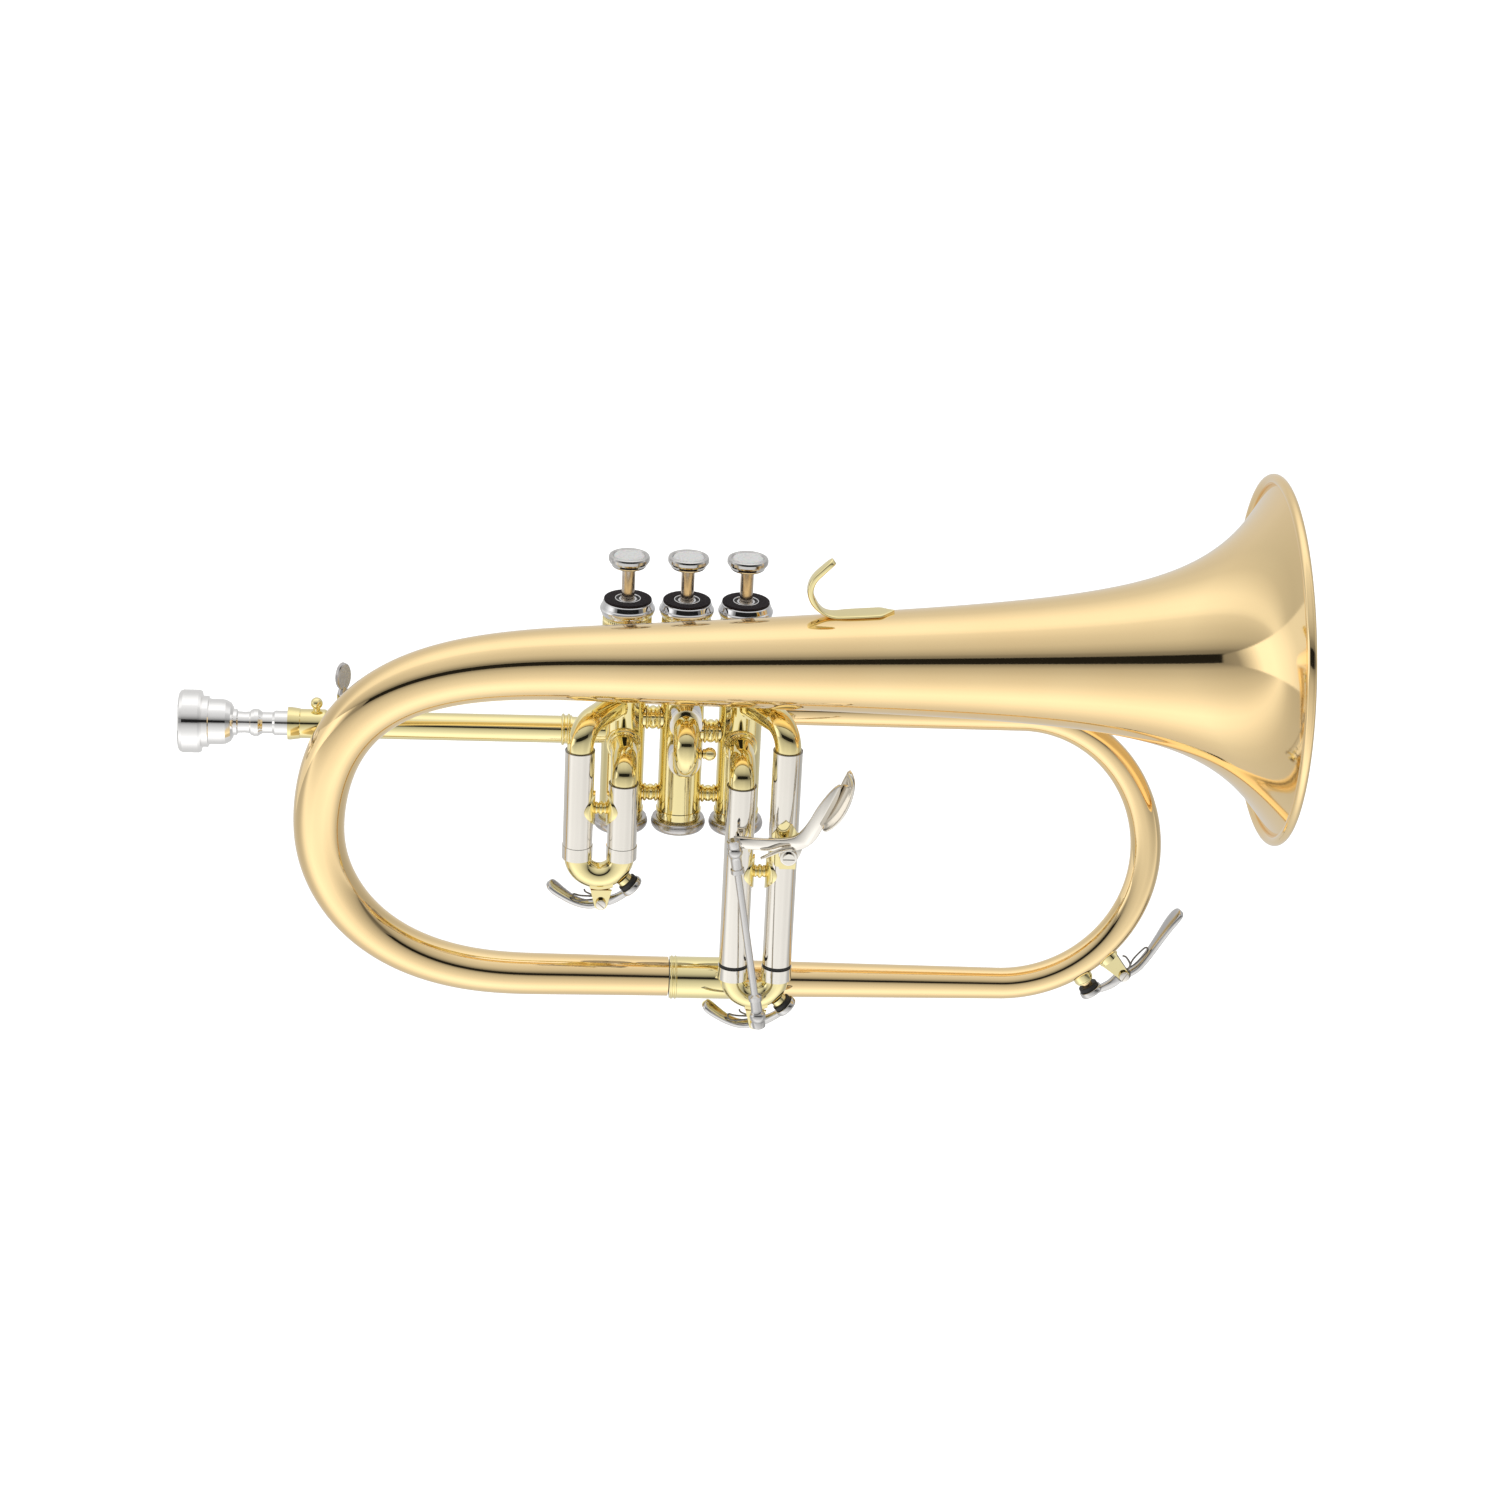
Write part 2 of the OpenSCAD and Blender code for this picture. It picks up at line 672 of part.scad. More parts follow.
// turned brace between the two legs of a slide, with an oval foot on each leg
module leg_brace(x, z, foot_h) {
    half = leg_spacing / 2;
    foot = 0.7;
    color(yellow_brass) translate([x, -slide_reach, z]) difference() {
        union() {
            intersection() {
                for (side = [-1, 1]) translate([side * half, 0, -foot_h]) cylinder(r = leg_r + foot, h = 2 * foot_h);
                along_x() scale([foot_h / 12.4, 1, 1]) cylinder(r = 6.2, h = 2 * half - 4, center = true);
            }
            along_x() {
                cylinder(r = 1.7, h = leg_spacing - leg_d, center = true);
                for (k = [-1, 0, 1]) translate([0, 0, k * 1.7]) cylinder(r = k == 0 ? 2.8 : 2.4, h = 1.1, center = true);
            }
        }
        for (side = [-1, 1]) translate([side * half, 0, -foot_h]) cylinder(r = leg_r, h = 2 * foot_h);
    }
}

module slide1_outer() {
    color(nickel) outer_pair(slide1_x, slide1_x - leg_spacing / 2, slide1_ring_z, high_port1_z - high_bend_r);
}

module slide3_outer() {
    color(nickel) outer_pair(slide3_x, slide3_x + leg_spacing / 2, slide3_ring_z, high_port3_z - high_bend_r);
}

module slide1_elbows() {
    color(yellow_brass) translate([valve_x(1), 0, 0]) {
        translate([0, 0, low_port_z]) rotate([0, 0, -90]) elbow(slide_reach, low_bend_r);
        translate([0, 0, high_port1_z]) rotate([0, 0, atan2(-slide_reach, -leg_spacing)])
            elbow(norm([slide_reach, leg_spacing]), high_bend_r);
    }
}

module slide3_elbows() {
    color(yellow_brass) translate([valve_x(3), 0, 0]) {
        translate([0, 0, low_port_z]) rotate([0, 0, -90]) elbow(slide_reach, low_bend_r);
        difference() {
            translate([0, 0, high_port3_z]) rotate([0, 0, atan2(-slide_reach, leg_spacing)])
                elbow(norm([slide_reach, leg_spacing]), high_bend_r);
            translate([0, 0, crook_z]) along_x() cylinder(r = crook_valve_r + 0.25, h = 40);
        }
    }
}

module slide1_brace() {
    leg_brace(slide1_x, slide1_brace_z, 14.5);
}

module slide3_brace() {
    leg_brace(slide3_x, slide3_brace_z, 16);
}

module slide1_inner() {
    color(nickel) inner_pair(slide1_x, slide1_ring_z, slide1_sleeve_end);
}

module slide3_inner() {
    color(nickel) inner_pair(slide3_x, slide3_ring_z - 1.5, slide3_sleeve_end);
}

module slide1_bow() {
    color(yellow_brass) bow(slide1_x, slide1_bend_z, slide1_ring_z);
}

module slide3_bow() {
    color(yellow_brass) {
        bow(slide3_x, slide3_bend_z, slide3_ring_z - 1.5);
        translate([slide_ball[0], -slide_reach - knuckle_r + 0.5, slide_ball[1] + 1]) along_front()
            cylinder(r = 1.6, h = -link_y - slide_reach - knuckle_r - 2.9);
    }
}

// rubber bumper rings between the outer legs and the sleeves of the third slide
module slide3_o_rings() {
    color(rubber_black) for (side = [-1, 1])
        translate([slide3_x + side * leg_spacing / 2, -slide_reach, slide3_ring_z - 1.5])
        tube(leg_r - 0.1, inner_leg_r, 1.4);
}

// ---------- water keys ----------

module key_saddle(x, bend_z) {
    half = leg_spacing / 2;
    under = half + knuckle_r;
    p = key_pivot;
    color(yellow_brass) translate([x, -slide_reach, bend_z]) {
        difference() {
            union() {
                intersection() {
                    rotate([90, 0, 0]) rotate_extrude() translate([half, 0]) circle(r = knuckle_r + 0.8);
                    translate([p[0] - 4.8, -4, -under - 2]) cube([9.6, 8, 8]);
                }
                for (side = [-1, 1]) translate([p[0], side * (key_w / 2 + 0.65), 0]) plate(-0.55, 0.55)
                    polygon([[-4.4, -under], [4.4, -under], [2.4, p[1] - 2], [1, p[1] - 3], [-1, p[1] - 3],
                        [-2.4, p[1] - 2]]);
            }
            rotate([90, 0, 0]) rotate_extrude() translate([half, 0]) circle(r = knuckle_r);
        }
        translate([p[0], 0, p[1]]) rotate([90, 0, 0]) {
            cylinder(r = key_pin_r, h = key_w + 2.4, center = true);
            translate([0, 0, key_w / 2 + 1.15]) cylinder(r = 1.9, h = 1);
        }
    }
}

// cup of a water key, its rim facing the nipple at z = 0
module key_cup() {
    rotate_extrude() polygon([[pad_r, pad_h - 0.8], [cup_r, pad_h - 0.8], [cup_r, pad_h + 1.2], [4.2, pad_h + 2],
        [0, pad_h + 2], [0, pad_h], [pad_r, pad_h]]);
}

// cup, hub and finger paddle of a slide's water key
module key_lever(x, bend_z) {
    half = leg_spacing / 2;
    seat = half + knuckle_r + nipple_h + 0.02;
    p = key_pivot;
    arm = [p + [0, -0.6], p + [-5, -1.6], p + [-10, -0.2], p + [-15, 2.8], p + [-19.6, 6.4]];
    cup_arm = [p, p + [4.6, 0.4], [(seat + 3.9) * cos(key_angle), (seat + 3.9) * sin(key_angle)]];
    color(nickel) translate([x, -slide_reach, bend_z]) {
        difference() {
            union() {
                plate(-key_w / 2, key_w / 2) polygon(strip(arm, [3.6, 2.6, 2.2, 2, 1.8]));
                plate(-1.4, 1.4) polygon(strip(cup_arm, [3.6, 3, 1.6]));
                translate([p[0], 0, p[1]]) rotate([90, 0, 0]) cylinder(r = 2.4, h = key_w, center = true);
            }
            translate([p[0], 0, p[1]]) rotate([90, 0, 0]) cylinder(r = key_pin_r + clearance, h = 20, center = true);
        }
        slide_key_radial(seat) key_cup();
        translate([p[0] - 18.4, 0, p[1] + 5.5]) rotate([0, 38, 0]) translate([0, 0, -0.7]) cylinder(r = 3.6, h = 1.4);
    }
}

module key_pad(x, bend_z) {
    seat = leg_spacing / 2 + knuckle_r + nipple_h + 0.02;
    color(rubber_black) translate([x, -slide_reach, bend_z]) slide_key_radial(seat) cylinder(r = pad_r, h = pad_h);
}

module slide1_key_saddle() {
    key_saddle(slide1_x, slide1_bend_z);
}

module slide1_key_lever() {
    key_lever(slide1_x, slide1_bend_z);
}

module slide1_key_pad() {
    key_pad(slide1_x, slide1_bend_z);
}

module slide3_key_saddle() {
    key_saddle(slide3_x, slide3_bend_z);
}

module slide3_key_lever() {
    key_lever(slide3_x, slide3_bend_z);
}

module slide3_key_pad() {
    key_pad(slide3_x, slide3_bend_z);
}

function crook_point(angle, r) = [crook_bend_x + r * cos(angle), r * sin(angle)];

module bend_key_saddle() {
    a = bend_pivot_angle;
    outer = crook_half + crook_bend_r;
    p = crook_point(a, bend_pivot_r);
    color(yellow_brass) in_crook() {
        difference() {
            union() {
                crook_radial(a, outer - 3) cylinder(r = 4.6, h = 3.8);
                for (side = [-1, 1]) translate([0, side * (key_w / 2 + 0.65), 0]) plate(-0.55, 0.55)
                    polygon([crook_point(a - 3.6, outer - 1), crook_point(a + 3.6, outer - 1),
                        crook_point(a + 1.6, bend_pivot_r + 1), crook_point(a + 0.7, bend_pivot_r + 2.2),
                        crook_point(a - 0.7, bend_pivot_r + 2.2), crook_point(a - 1.6, bend_pivot_r + 1)]);
            }
            crook_radial(a, crook_half) along_x() cylinder(r = crook_bend_r, h = 40, center = true);
        }
        translate([p[0], 0, p[1]]) rotate([90, 0, 0]) {
            cylinder(r = key_pin_r, h = key_w + 2.4, center = true);
            translate([0, 0, key_w / 2 + 1.15]) cylinder(r = 1.9, h = 1);
        }
    }
}

module bend_key_lever() {
    a = bend_pivot_angle;
    seat = bend_nipple_end + 0.02;
    p = crook_point(a, bend_pivot_r);
    arm = [p, p + [5.4, 2.2], p + [9.8, 9], p + [15.4, 19], p + [20, 26.6]];
    cup_arm = [p, crook_point(a - 5, seat + 4.6), crook_point(bend_key_angle, seat + 3.9)];
    color(nickel) in_crook() {
        difference() {
            union() {
                plate(-key_w / 2, key_w / 2) polygon(strip(arm, [3.6, 3.2, 2.6, 2.2, 1.8]));
                plate(-1.4, 1.4) polygon(strip(cup_arm, [3.6, 3, 1.6]));
                translate([p[0], 0, p[1]]) rotate([90, 0, 0]) cylinder(r = 2.4, h = key_w, center = true);
            }
            translate([p[0], 0, p[1]]) rotate([90, 0, 0]) cylinder(r = key_pin_r + clearance, h = 20, center = true);
        }
        crook_radial(bend_key_angle, seat) key_cup();
        translate([p[0] + 18.8, 0, p[1] + 24.4]) rotate([0, 33, 0]) rotate([0, 90, 0]) translate([0, 0, -0.7])
            cylinder(r = 4.4, h = 1.4);
    }
}

module bend_key_pad() {
    color(rubber_black) in_crook() crook_radial(bend_key_angle, bend_nipple_end + 0.02) cylinder(r = pad_r, h = pad_h);
}

// ---------- second slide ----------

module slide2_pair() {
    for (side = [-1, 1]) translate([slide2_x, 0, slide2_mid_z + side * slide2_half]) children();
}

module slide2_outer() {
    color(nickel) difference() {
        slide2_pair() along_front() tube(slide2_r, slide2_inner_r + clearance, -slide2_collar_y);
        translate([0, 0, -30]) cylinder(r = casing_r, h = 60);
    }
}

module slide2_inner() {
    color(nickel) slide2_pair() {
        translate([0, -10.6, 0]) along_front() tube(slide2_inner_r, 5.3, -slide2_end_y - 10.6);
        translate([0, slide2_collar_y - 0.1, 0]) along_front()
            tube(slide2_r, slide2_inner_r - 0.2, slide2_collar_y - 0.1 - slide2_end_y);
    }
}

module slide2_bow() {
    bend_y = slide2_end_y - 1.4;
    color(yellow_brass) translate([slide2_x, bend_y, slide2_mid_z]) {
        rotate([-90, -90, 0]) u_bow(slide2_half, 5.3, 4.7, 8);
        translate([0, -slide2_half, 0]) along_x() {
            translate([0, 0, 5.1]) cylinder(r1 = 2, r2 = 1.3, h = 1.5);
            translate([0, 0, 6.5]) cylinder(r = 1.3, h = 1.5);
            translate([0, 0, 9.4]) sphere(r = 2.3);
        }
    }
}

// ---------- third slide trigger ----------

module trigger_saddle() {
    p = trigger_pivot;
    leg_x = slide3_x + leg_spacing / 2;
    color(yellow_brass) difference() {
        union() {
            intersection() {
                translate([leg_x, -slide_reach, -46]) cylinder(r = leg_r + 0.8, h = 24);
                plate(-40, -slide_reach) polygon([[42.7, -22.6], [45.4, -24.6], [48.3, -30], [48.3, -40],
                    [46.4, -43.4], [39, -43.4], [37.2, -40], [37.2, -30], [40, -24.6]]);
            }
            translate([p[0], -35.6, p[1]]) along_front() cylinder(r = 3.6, h = 2.4);
            translate([p[0] - 3.4, -38.4, p[1] - 7.4]) cube([6.8, 3, 8]);
        }
        translate([leg_x, -slide_reach, -60]) cylinder(r = leg_r, h = 50);
    }
}

module trigger_screw() {
    p = trigger_pivot;
    color(nickel) translate([p[0], -38.4, p[1]]) along_front() difference() {
        union() {
            cylinder(r = trigger_pin_r, h = 5.3);
            translate([0, 0, 5.2]) cylinder(r = 2.4, h = 1.3);
        }
        translate([-3, -0.3, 6.1]) cube([6, 0.6, 1]);
    }
}

module trigger_lever() {
    p = trigger_pivot;
    bar = [[22.6, -30.2], [28, -30.6], [36, -31], [43, -31], [48, -29.9], [51.8, -27], [54.4, -22.2], [57, -16.4],
        [60.2, -10.6], [64, -6.2]];
    web = [[40, -31], [50, -31], [49, -35.4], [46, -39.4], [42, -39.4], [40.6, -36]];
    color(nickel) {
        difference() {
            union() {
                plate(lever_y0, lever_y1) {
                    polygon(strip(bar, [4.4, 4.6, 4.8, 5.4, 6.4, 6.6, 6, 5.2, 4, 2.4]));
                    polygon(web);
                }
                translate([p[0], -38.5, p[1]]) along_front() cylinder(r = 3.6, h = 4.9);
                translate([lever_ball[0] + 1, lever_y1 - 0.6, lever_ball[1] + 1.4]) along_front()
                    cylinder(r = 2.6, h = 1.6);
            }
            translate([p[0], -30, p[1]]) along_front() cylinder(r = trigger_pin_r + clearance, h = 20);
        }
        translate([lever_ball[0], lever_y1 - 0.4, lever_ball[1]]) along_front()
            cylinder(r = 1.2, h = lever_y1 - 0.4 - link_y);
        translate([lever_ball[0], link_y, lever_ball[1]]) sphere(r = ball_r);
        thumb_rest();
    }
}

// curved rest for the finger that works the trigger
module thumb_rest() {
    curve = [for (i = [0 : 10]) bezier([[57.6, -19.6], [60.4, -15], [64.2, -8], [66.4, 1.2]], i / 10)];
    plate(-48, -39.4) polygon(strip(curve, [for (i = [0 : 10]) 1.3]));
}

// ball socket of the link: a ball with a cap on one side and a sleeve for the rod on the other
module link_end() {
    translate([0, 0, 2]) cylinder(r1 = 3.1, r2 = 2.8, h = 3.6);
    sphere(r = ball_end_r);
    translate([0, 0, -6.4]) cylinder(r = 2.3, h = 4.4);
    translate([0, 0, -11.4]) cylinder(r = 2.6, h = 5.4);
}

module link_rod() {
    run = lever_ball - slide_ball;
    lean = atan2(run[0], run[1]);
    length = norm(run);
    color(steel) translate([slide_ball[0], link_y, slide_ball[1]]) rotate([0, lean, 0]) {
        translate([0, 0, 9]) cylinder(r = 1.65, h = length - 18);
        rotate([0, 180, 0]) link_end();
        translate([0, 0, length]) difference() {
            link_end();
            sphere(r = ball_r + socket_slack);
            rotate([-90, 0, 0]) cylinder(r = 1.2 + socket_slack, h = 10);
        }
    }
}

bell_flare();
bell_bow();
bow_ferrule();
crook();
finger_hook();
bell_braces();
leadpipe_outer();
leadpipe_clamp();
wing_screw();
receiver();
mouthpiece();
casing_1();
casing_2();
casing_3();
crossover_tubes();
casing_braces();
top_caps();
cap_felts();
bottom_caps();
piston_1();
piston_2();
piston_3();
button_1();
button_2();
button_3();
pearl_1();
pearl_2();
pearl_3();
valve_spring_1();
valve_spring_2();
valve_spring_3();
slide1_outer();
slide1_elbows();
slide1_brace();
slide1_inner();
slide1_bow();
slide1_key_saddle();
slide1_key_lever();
slide1_key_pad();
slide2_outer();
slide2_inner();
slide2_bow();
slide3_outer();
slide3_elbows();
slide3_brace();
slide3_inner();
slide3_bow();
slide3_o_rings();
slide3_key_saddle();
slide3_key_lever();
slide3_key_pad();
bend_key_saddle();
bend_key_lever();
bend_key_pad();
trigger_saddle();
trigger_screw();
trigger_lever();
link_rod();
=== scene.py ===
import json
import math

import bmesh
import bpy
import numpy as np
from mathutils import Matrix, Vector


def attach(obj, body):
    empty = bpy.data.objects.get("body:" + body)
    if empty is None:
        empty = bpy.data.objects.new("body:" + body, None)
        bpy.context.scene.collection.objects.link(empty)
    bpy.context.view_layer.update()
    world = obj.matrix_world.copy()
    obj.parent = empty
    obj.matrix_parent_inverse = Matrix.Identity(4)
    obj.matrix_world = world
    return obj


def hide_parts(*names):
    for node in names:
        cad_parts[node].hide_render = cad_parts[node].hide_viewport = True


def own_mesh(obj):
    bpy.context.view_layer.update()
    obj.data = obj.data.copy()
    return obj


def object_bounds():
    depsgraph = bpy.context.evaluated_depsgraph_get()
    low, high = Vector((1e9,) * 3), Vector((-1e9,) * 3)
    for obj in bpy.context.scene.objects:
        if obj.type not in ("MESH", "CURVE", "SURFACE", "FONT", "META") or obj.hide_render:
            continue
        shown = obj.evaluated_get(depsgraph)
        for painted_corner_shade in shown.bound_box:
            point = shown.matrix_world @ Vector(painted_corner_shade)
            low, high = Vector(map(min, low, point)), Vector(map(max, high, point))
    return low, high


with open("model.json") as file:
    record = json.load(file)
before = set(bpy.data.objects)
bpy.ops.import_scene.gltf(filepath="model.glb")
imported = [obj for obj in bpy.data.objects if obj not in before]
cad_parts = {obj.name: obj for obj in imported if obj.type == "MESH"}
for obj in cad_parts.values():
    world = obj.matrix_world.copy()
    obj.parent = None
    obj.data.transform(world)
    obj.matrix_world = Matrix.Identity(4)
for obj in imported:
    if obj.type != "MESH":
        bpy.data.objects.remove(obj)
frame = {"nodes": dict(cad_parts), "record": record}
nodes = frame["nodes"]
cad_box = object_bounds()
MM = 0.001


# ---------------------------------------------------------------- camera

def look(yaw, pitch, roll):
    """Right, down and forward directions of a camera that looks along +Y before it is turned."""
    forward = Vector((math.sin(yaw) * math.cos(pitch), math.cos(yaw) * math.cos(pitch), -math.sin(pitch)))
    right = Vector((math.cos(yaw), -math.sin(yaw), 0))
    down = forward.cross(right)
    return (math.cos(roll) * right + math.sin(roll) * down,
            math.cos(roll) * down - math.sin(roll) * right, forward)


camera = bpy.data.objects.new("camera", bpy.data.cameras.new("camera"))
bpy.context.scene.collection.objects.link(camera)
bpy.context.scene.camera = camera
right, down, forward = look(yaw=math.radians(3.9), pitch=math.radians(23.8), roll=math.radians(-2.85))
camera.matrix_world = Matrix((
    (right.x, -down.x, -forward.x, -0.0697),
    (right.y, -down.y, -forward.y, -1.44556),
    (right.z, -down.z, -forward.z, 0.63177),
    (0, 0, 0, 1)))
camera.data.sensor_width = 36
camera.data.lens = 91.2
camera.data.clip_start = 0.01
camera.data.clip_end = 60
camera.data.dof.use_dof = False


# ---------------------------------------------------------------- node helpers

def put(tree, kind, **values):
    """Adds a node. Keys are properties or input names, with _ for a space; a socket value is linked."""
    node = tree.nodes.new(kind)
    for key, value in values.items():
        if key in node.bl_rna.properties and key not in ("inputs", "outputs"):
            setattr(node, key, value)
            continue
        name = int(key[1:]) if key[0] == "i" and key[1:].isdigit() else key.replace("_", " ")
        socket = node.inputs[name]
        if isinstance(value, bpy.types.NodeSocket):
            tree.links.new(value, socket)
        else:
            socket.default_value = value
    return node


def calc(tree, operation, a, b=0.0, c=0.0, clamp=False):
    return put(tree, "ShaderNodeMath", operation=operation, use_clamp=clamp, i0=a, i1=b, i2=c).outputs[0]


def span(tree, value, low, high, to_low=0.0, to_high=1.0, smooth=False):
    """Maps value from low..high to to_low..to_high, held at the ends."""
    kind = "SMOOTHSTEP" if smooth else "LINEAR"
    node = put(tree, "ShaderNodeMapRange", clamp=True, interpolation_type=kind)
    for k, v in enumerate((value, low, high, to_low, to_high)):
        if isinstance(v, bpy.types.NodeSocket):
            tree.links.new(v, node.inputs[k])
        else:
            node.inputs[k].default_value = v
    return node.outputs[0]


def ramp(tree, value, stops, interpolation="LINEAR"):
    """Colour ramp from (position, colour or grey) stops."""
    node = put(tree, "ShaderNodeValToRGB", Fac=value)
    elements = node.color_ramp.elements
    node.color_ramp.interpolation = interpolation
    while len(elements) < len(stops):
        elements.new(1.0)
    for element, (position, colour) in zip(elements, stops):
        element.position = position
        element.color = (colour, colour, colour, 1) if isinstance(colour, (int, float)) else (*colour, 1)
    return node.outputs[0]


def noise(tree, coords, scale, detail=2.0, rough=0.5, stretch=None):
    if stretch:
        coords = put(tree, "ShaderNodeMapping", Vector=coords, Scale=stretch).outputs[0]
    node = put(tree, "ShaderNodeTexNoise", Vector=coords, Scale=scale, Detail=detail, Roughness=rough)
    return node.outputs[0]


def mix(tree, factor, a, b, blend="MIX"):
    node = put(tree, "ShaderNodeMix", data_type="RGBA", blend_type=blend)
    for k, v in ((0, factor), (6, a), (7, b)):
        if isinstance(v, bpy.types.NodeSocket):
            tree.links.new(v, node.inputs[k])
        else:
            node.inputs[k].default_value = v if k == 0 else (*v, 1)
    return node.outputs[2]


def new_material(name):
    material = bpy.data.materials.new(name)
    material.use_nodes = True
    tree = material.node_tree
    tree.nodes.clear()
    shader = put(tree, "ShaderNodeBsdfPrincipled")
    put(tree, "ShaderNodeOutputMaterial", Surface=shader.outputs[0])
    coords = put(tree, "ShaderNodeTexCoord").outputs["Object"]
    return material, tree, shader, coords


# ---------------------------------------------------------------- materials

def polished_metal(name, bright, deep_tone_and_shade, rough=0.05, coat=0.0, peel=0.02, grain=0.0, tint_scale=14.0):
    """Polished metal: colour drifts between bright and a deep tone, is darkened towards the deep tone in
    corners and between parts as painted shade, and carries fine buffing marks in its roughness and its bump."""
    material, tree, shader, coords = new_material(name)
    drift = noise(tree, coords, tint_scale, 3.0)
    shade = tuple(0.85 * p + 0.15 * q for p, q in zip(bright, deep_tone_and_shade))
    colour = mix(tree, span(tree, drift, 0.35, 0.65), bright, shade)
    # painted shade: Ambient Occlusion darkens the colour towards the deep tone in corners and between parts
    painted_corner_shade = put(tree, "ShaderNodeAmbientOcclusion", samples=4, Distance=0.004).outputs["AO"]
    colour = mix(tree, span(tree, painted_corner_shade, 0.2, 0.75, 0.4, 0.0), colour, deep_tone_and_shade)
    handling = noise(tree, coords, 55.0, 4.0, 0.6)
    speck = noise(tree, coords, 900.0, 2.0)
    roughness = calc(tree, "ADD", span(tree, handling, 0.4, 0.72, rough, rough * 1.55),
                     span(tree, speck, 0.35, 0.7, -0.12 * rough, 0.25 * rough))
    fine = noise(tree, coords, 2600.0, 2.0)
    wave = noise(tree, coords, 60.0, 1.0)
    height = calc(tree, "ADD", calc(tree, "MULTIPLY", fine, 0.35), wave)
    bump = put(tree, "ShaderNodeBump", Strength=peel, Distance=0.0004, Height=height).outputs[0]
    if grain:
        lines = noise(tree, coords, 1.0, 3.0, 0.7, stretch=(30, 30, 2400))
        scored = put(tree, "ShaderNodeBump", Strength=grain, Distance=0.00012, Height=lines, Normal=bump)
        bump = scored.outputs[0]
    for key, value in (("Base Color", colour), ("Roughness", roughness), ("Normal", bump)):
        tree.links.new(value, shader.inputs[key])
    shader.inputs["Metallic"].default_value = 1.0
    if coat:
        shader.inputs["Coat Weight"].default_value = coat
        shader.inputs["Coat Roughness"].default_value = 0.03
        shader.inputs["Coat IOR"].default_value = 1.48
        tree.links.new(bump, shader.inputs["Coat Normal"])
    return material


def felt_material():
    material, tree, shader, coords = new_material("felt_black_wool")
    clump = noise(tree, coords, 900.0, 5.0, 0.7)
    fibre = noise(tree, coords, 1.0, 4.0, 0.8, stretch=(5200, 900, 2600))
    colour = ramp(tree, calc(tree, "MULTIPLY_ADD", fibre, 0.5, calc(tree, "MULTIPLY", clump, 0.5)),
                  [(0.3, (0.006, 0.003, 0.005)), (0.52, (0.015, 0.009, 0.013)), (0.7, (0.045, 0.030, 0.040))])
    tree.links.new(colour, shader.inputs["Base Color"])
    shader.inputs["Roughness"].default_value = 0.95
    shader.inputs["Specular IOR Level"].default_value = 0.15
    shader.inputs["Sheen Weight"].default_value = 0.1
    shader.inputs["Sheen Roughness"].default_value = 0.6
    bump = put(tree, "ShaderNodeBump", Strength=0.7, Distance=0.0003,
               Height=calc(tree, "ADD", clump, fibre)).outputs[0]
    tree.links.new(bump, shader.inputs["Normal"])
    return material


def rubber_material():
    material, tree, shader, coords = new_material("rubber_black")
    dust = noise(tree, coords, 320.0, 4.0, 0.6)
    colour = ramp(tree, dust, [(0.35, (0.008, 0.008, 0.008)), (0.62, (0.022, 0.021, 0.020)),
                               (0.8, (0.060, 0.058, 0.055))])
    tree.links.new(colour, shader.inputs["Base Color"])
    tree.links.new(span(tree, dust, 0.3, 0.7, 0.42, 0.62), shader.inputs["Roughness"])
    fine = noise(tree, coords, 3200.0, 3.0)
    tree.links.new(put(tree, "ShaderNodeBump", Strength=0.25, Distance=0.0001, Height=fine).outputs[0],
                   shader.inputs["Normal"])
    return material


def pearl_material():
    material, tree, shader, coords = new_material("pearl_inlay")
    layer = noise(tree, coords, 1.0, 4.0, 0.6, stretch=(160, 420, 160))
    swirl = put(tree, "ShaderNodeTexWave", Vector=coords, Scale=120.0, Distortion=14.0, Detail=3.0,
                Detail_Scale=2.0).outputs[1]
    colour = ramp(tree, calc(tree, "MULTIPLY_ADD", swirl, 0.4, calc(tree, "MULTIPLY", layer, 0.6)),
                  [(0.2, (0.80, 0.81, 0.81)), (0.45, (0.88, 0.88, 0.87)), (0.6, (0.93, 0.92, 0.91)),
                   (0.8, (0.84, 0.86, 0.86))])
    tree.links.new(colour, shader.inputs["Base Color"])
    shader.inputs["Roughness"].default_value = 0.55
    shader.inputs["Coat Weight"].default_value = 0.2
    shader.inputs["Coat Roughness"].default_value = 0.25
    shader.inputs["Subsurface Weight"].default_value = 0.1
    shader.inputs["Subsurface Scale"].default_value = 0.0006
    tree.links.new(put(tree, "ShaderNodeBump", Strength=0.05, Distance=0.0002, Height=layer).outputs[0],
                   shader.inputs["Normal"])
    return material


def satin_metal(name, light, dark, rough, scale=1500.0, strength=0.3):
    """Blasted or drawn metal with a dull, slightly mottled surface."""
    material, tree, shader, coords = new_material(name)
    mottle = noise(tree, coords, 260.0, 4.0, 0.65)
    blast = noise(tree, coords, scale, 3.0, 0.6)
    tree.links.new(mix(tree, span(tree, mottle, 0.3, 0.7), light, dark), shader.inputs["Base Color"])
    tree.links.new(span(tree, blast, 0.3, 0.7, rough * 0.85, rough * 1.2), shader.inputs["Roughness"])
    shader.inputs["Metallic"].default_value = 1.0
    tree.links.new(put(tree, "ShaderNodeBump", Strength=strength, Distance=0.0001, Height=blast).outputs[0],
                   shader.inputs["Normal"])
    return material


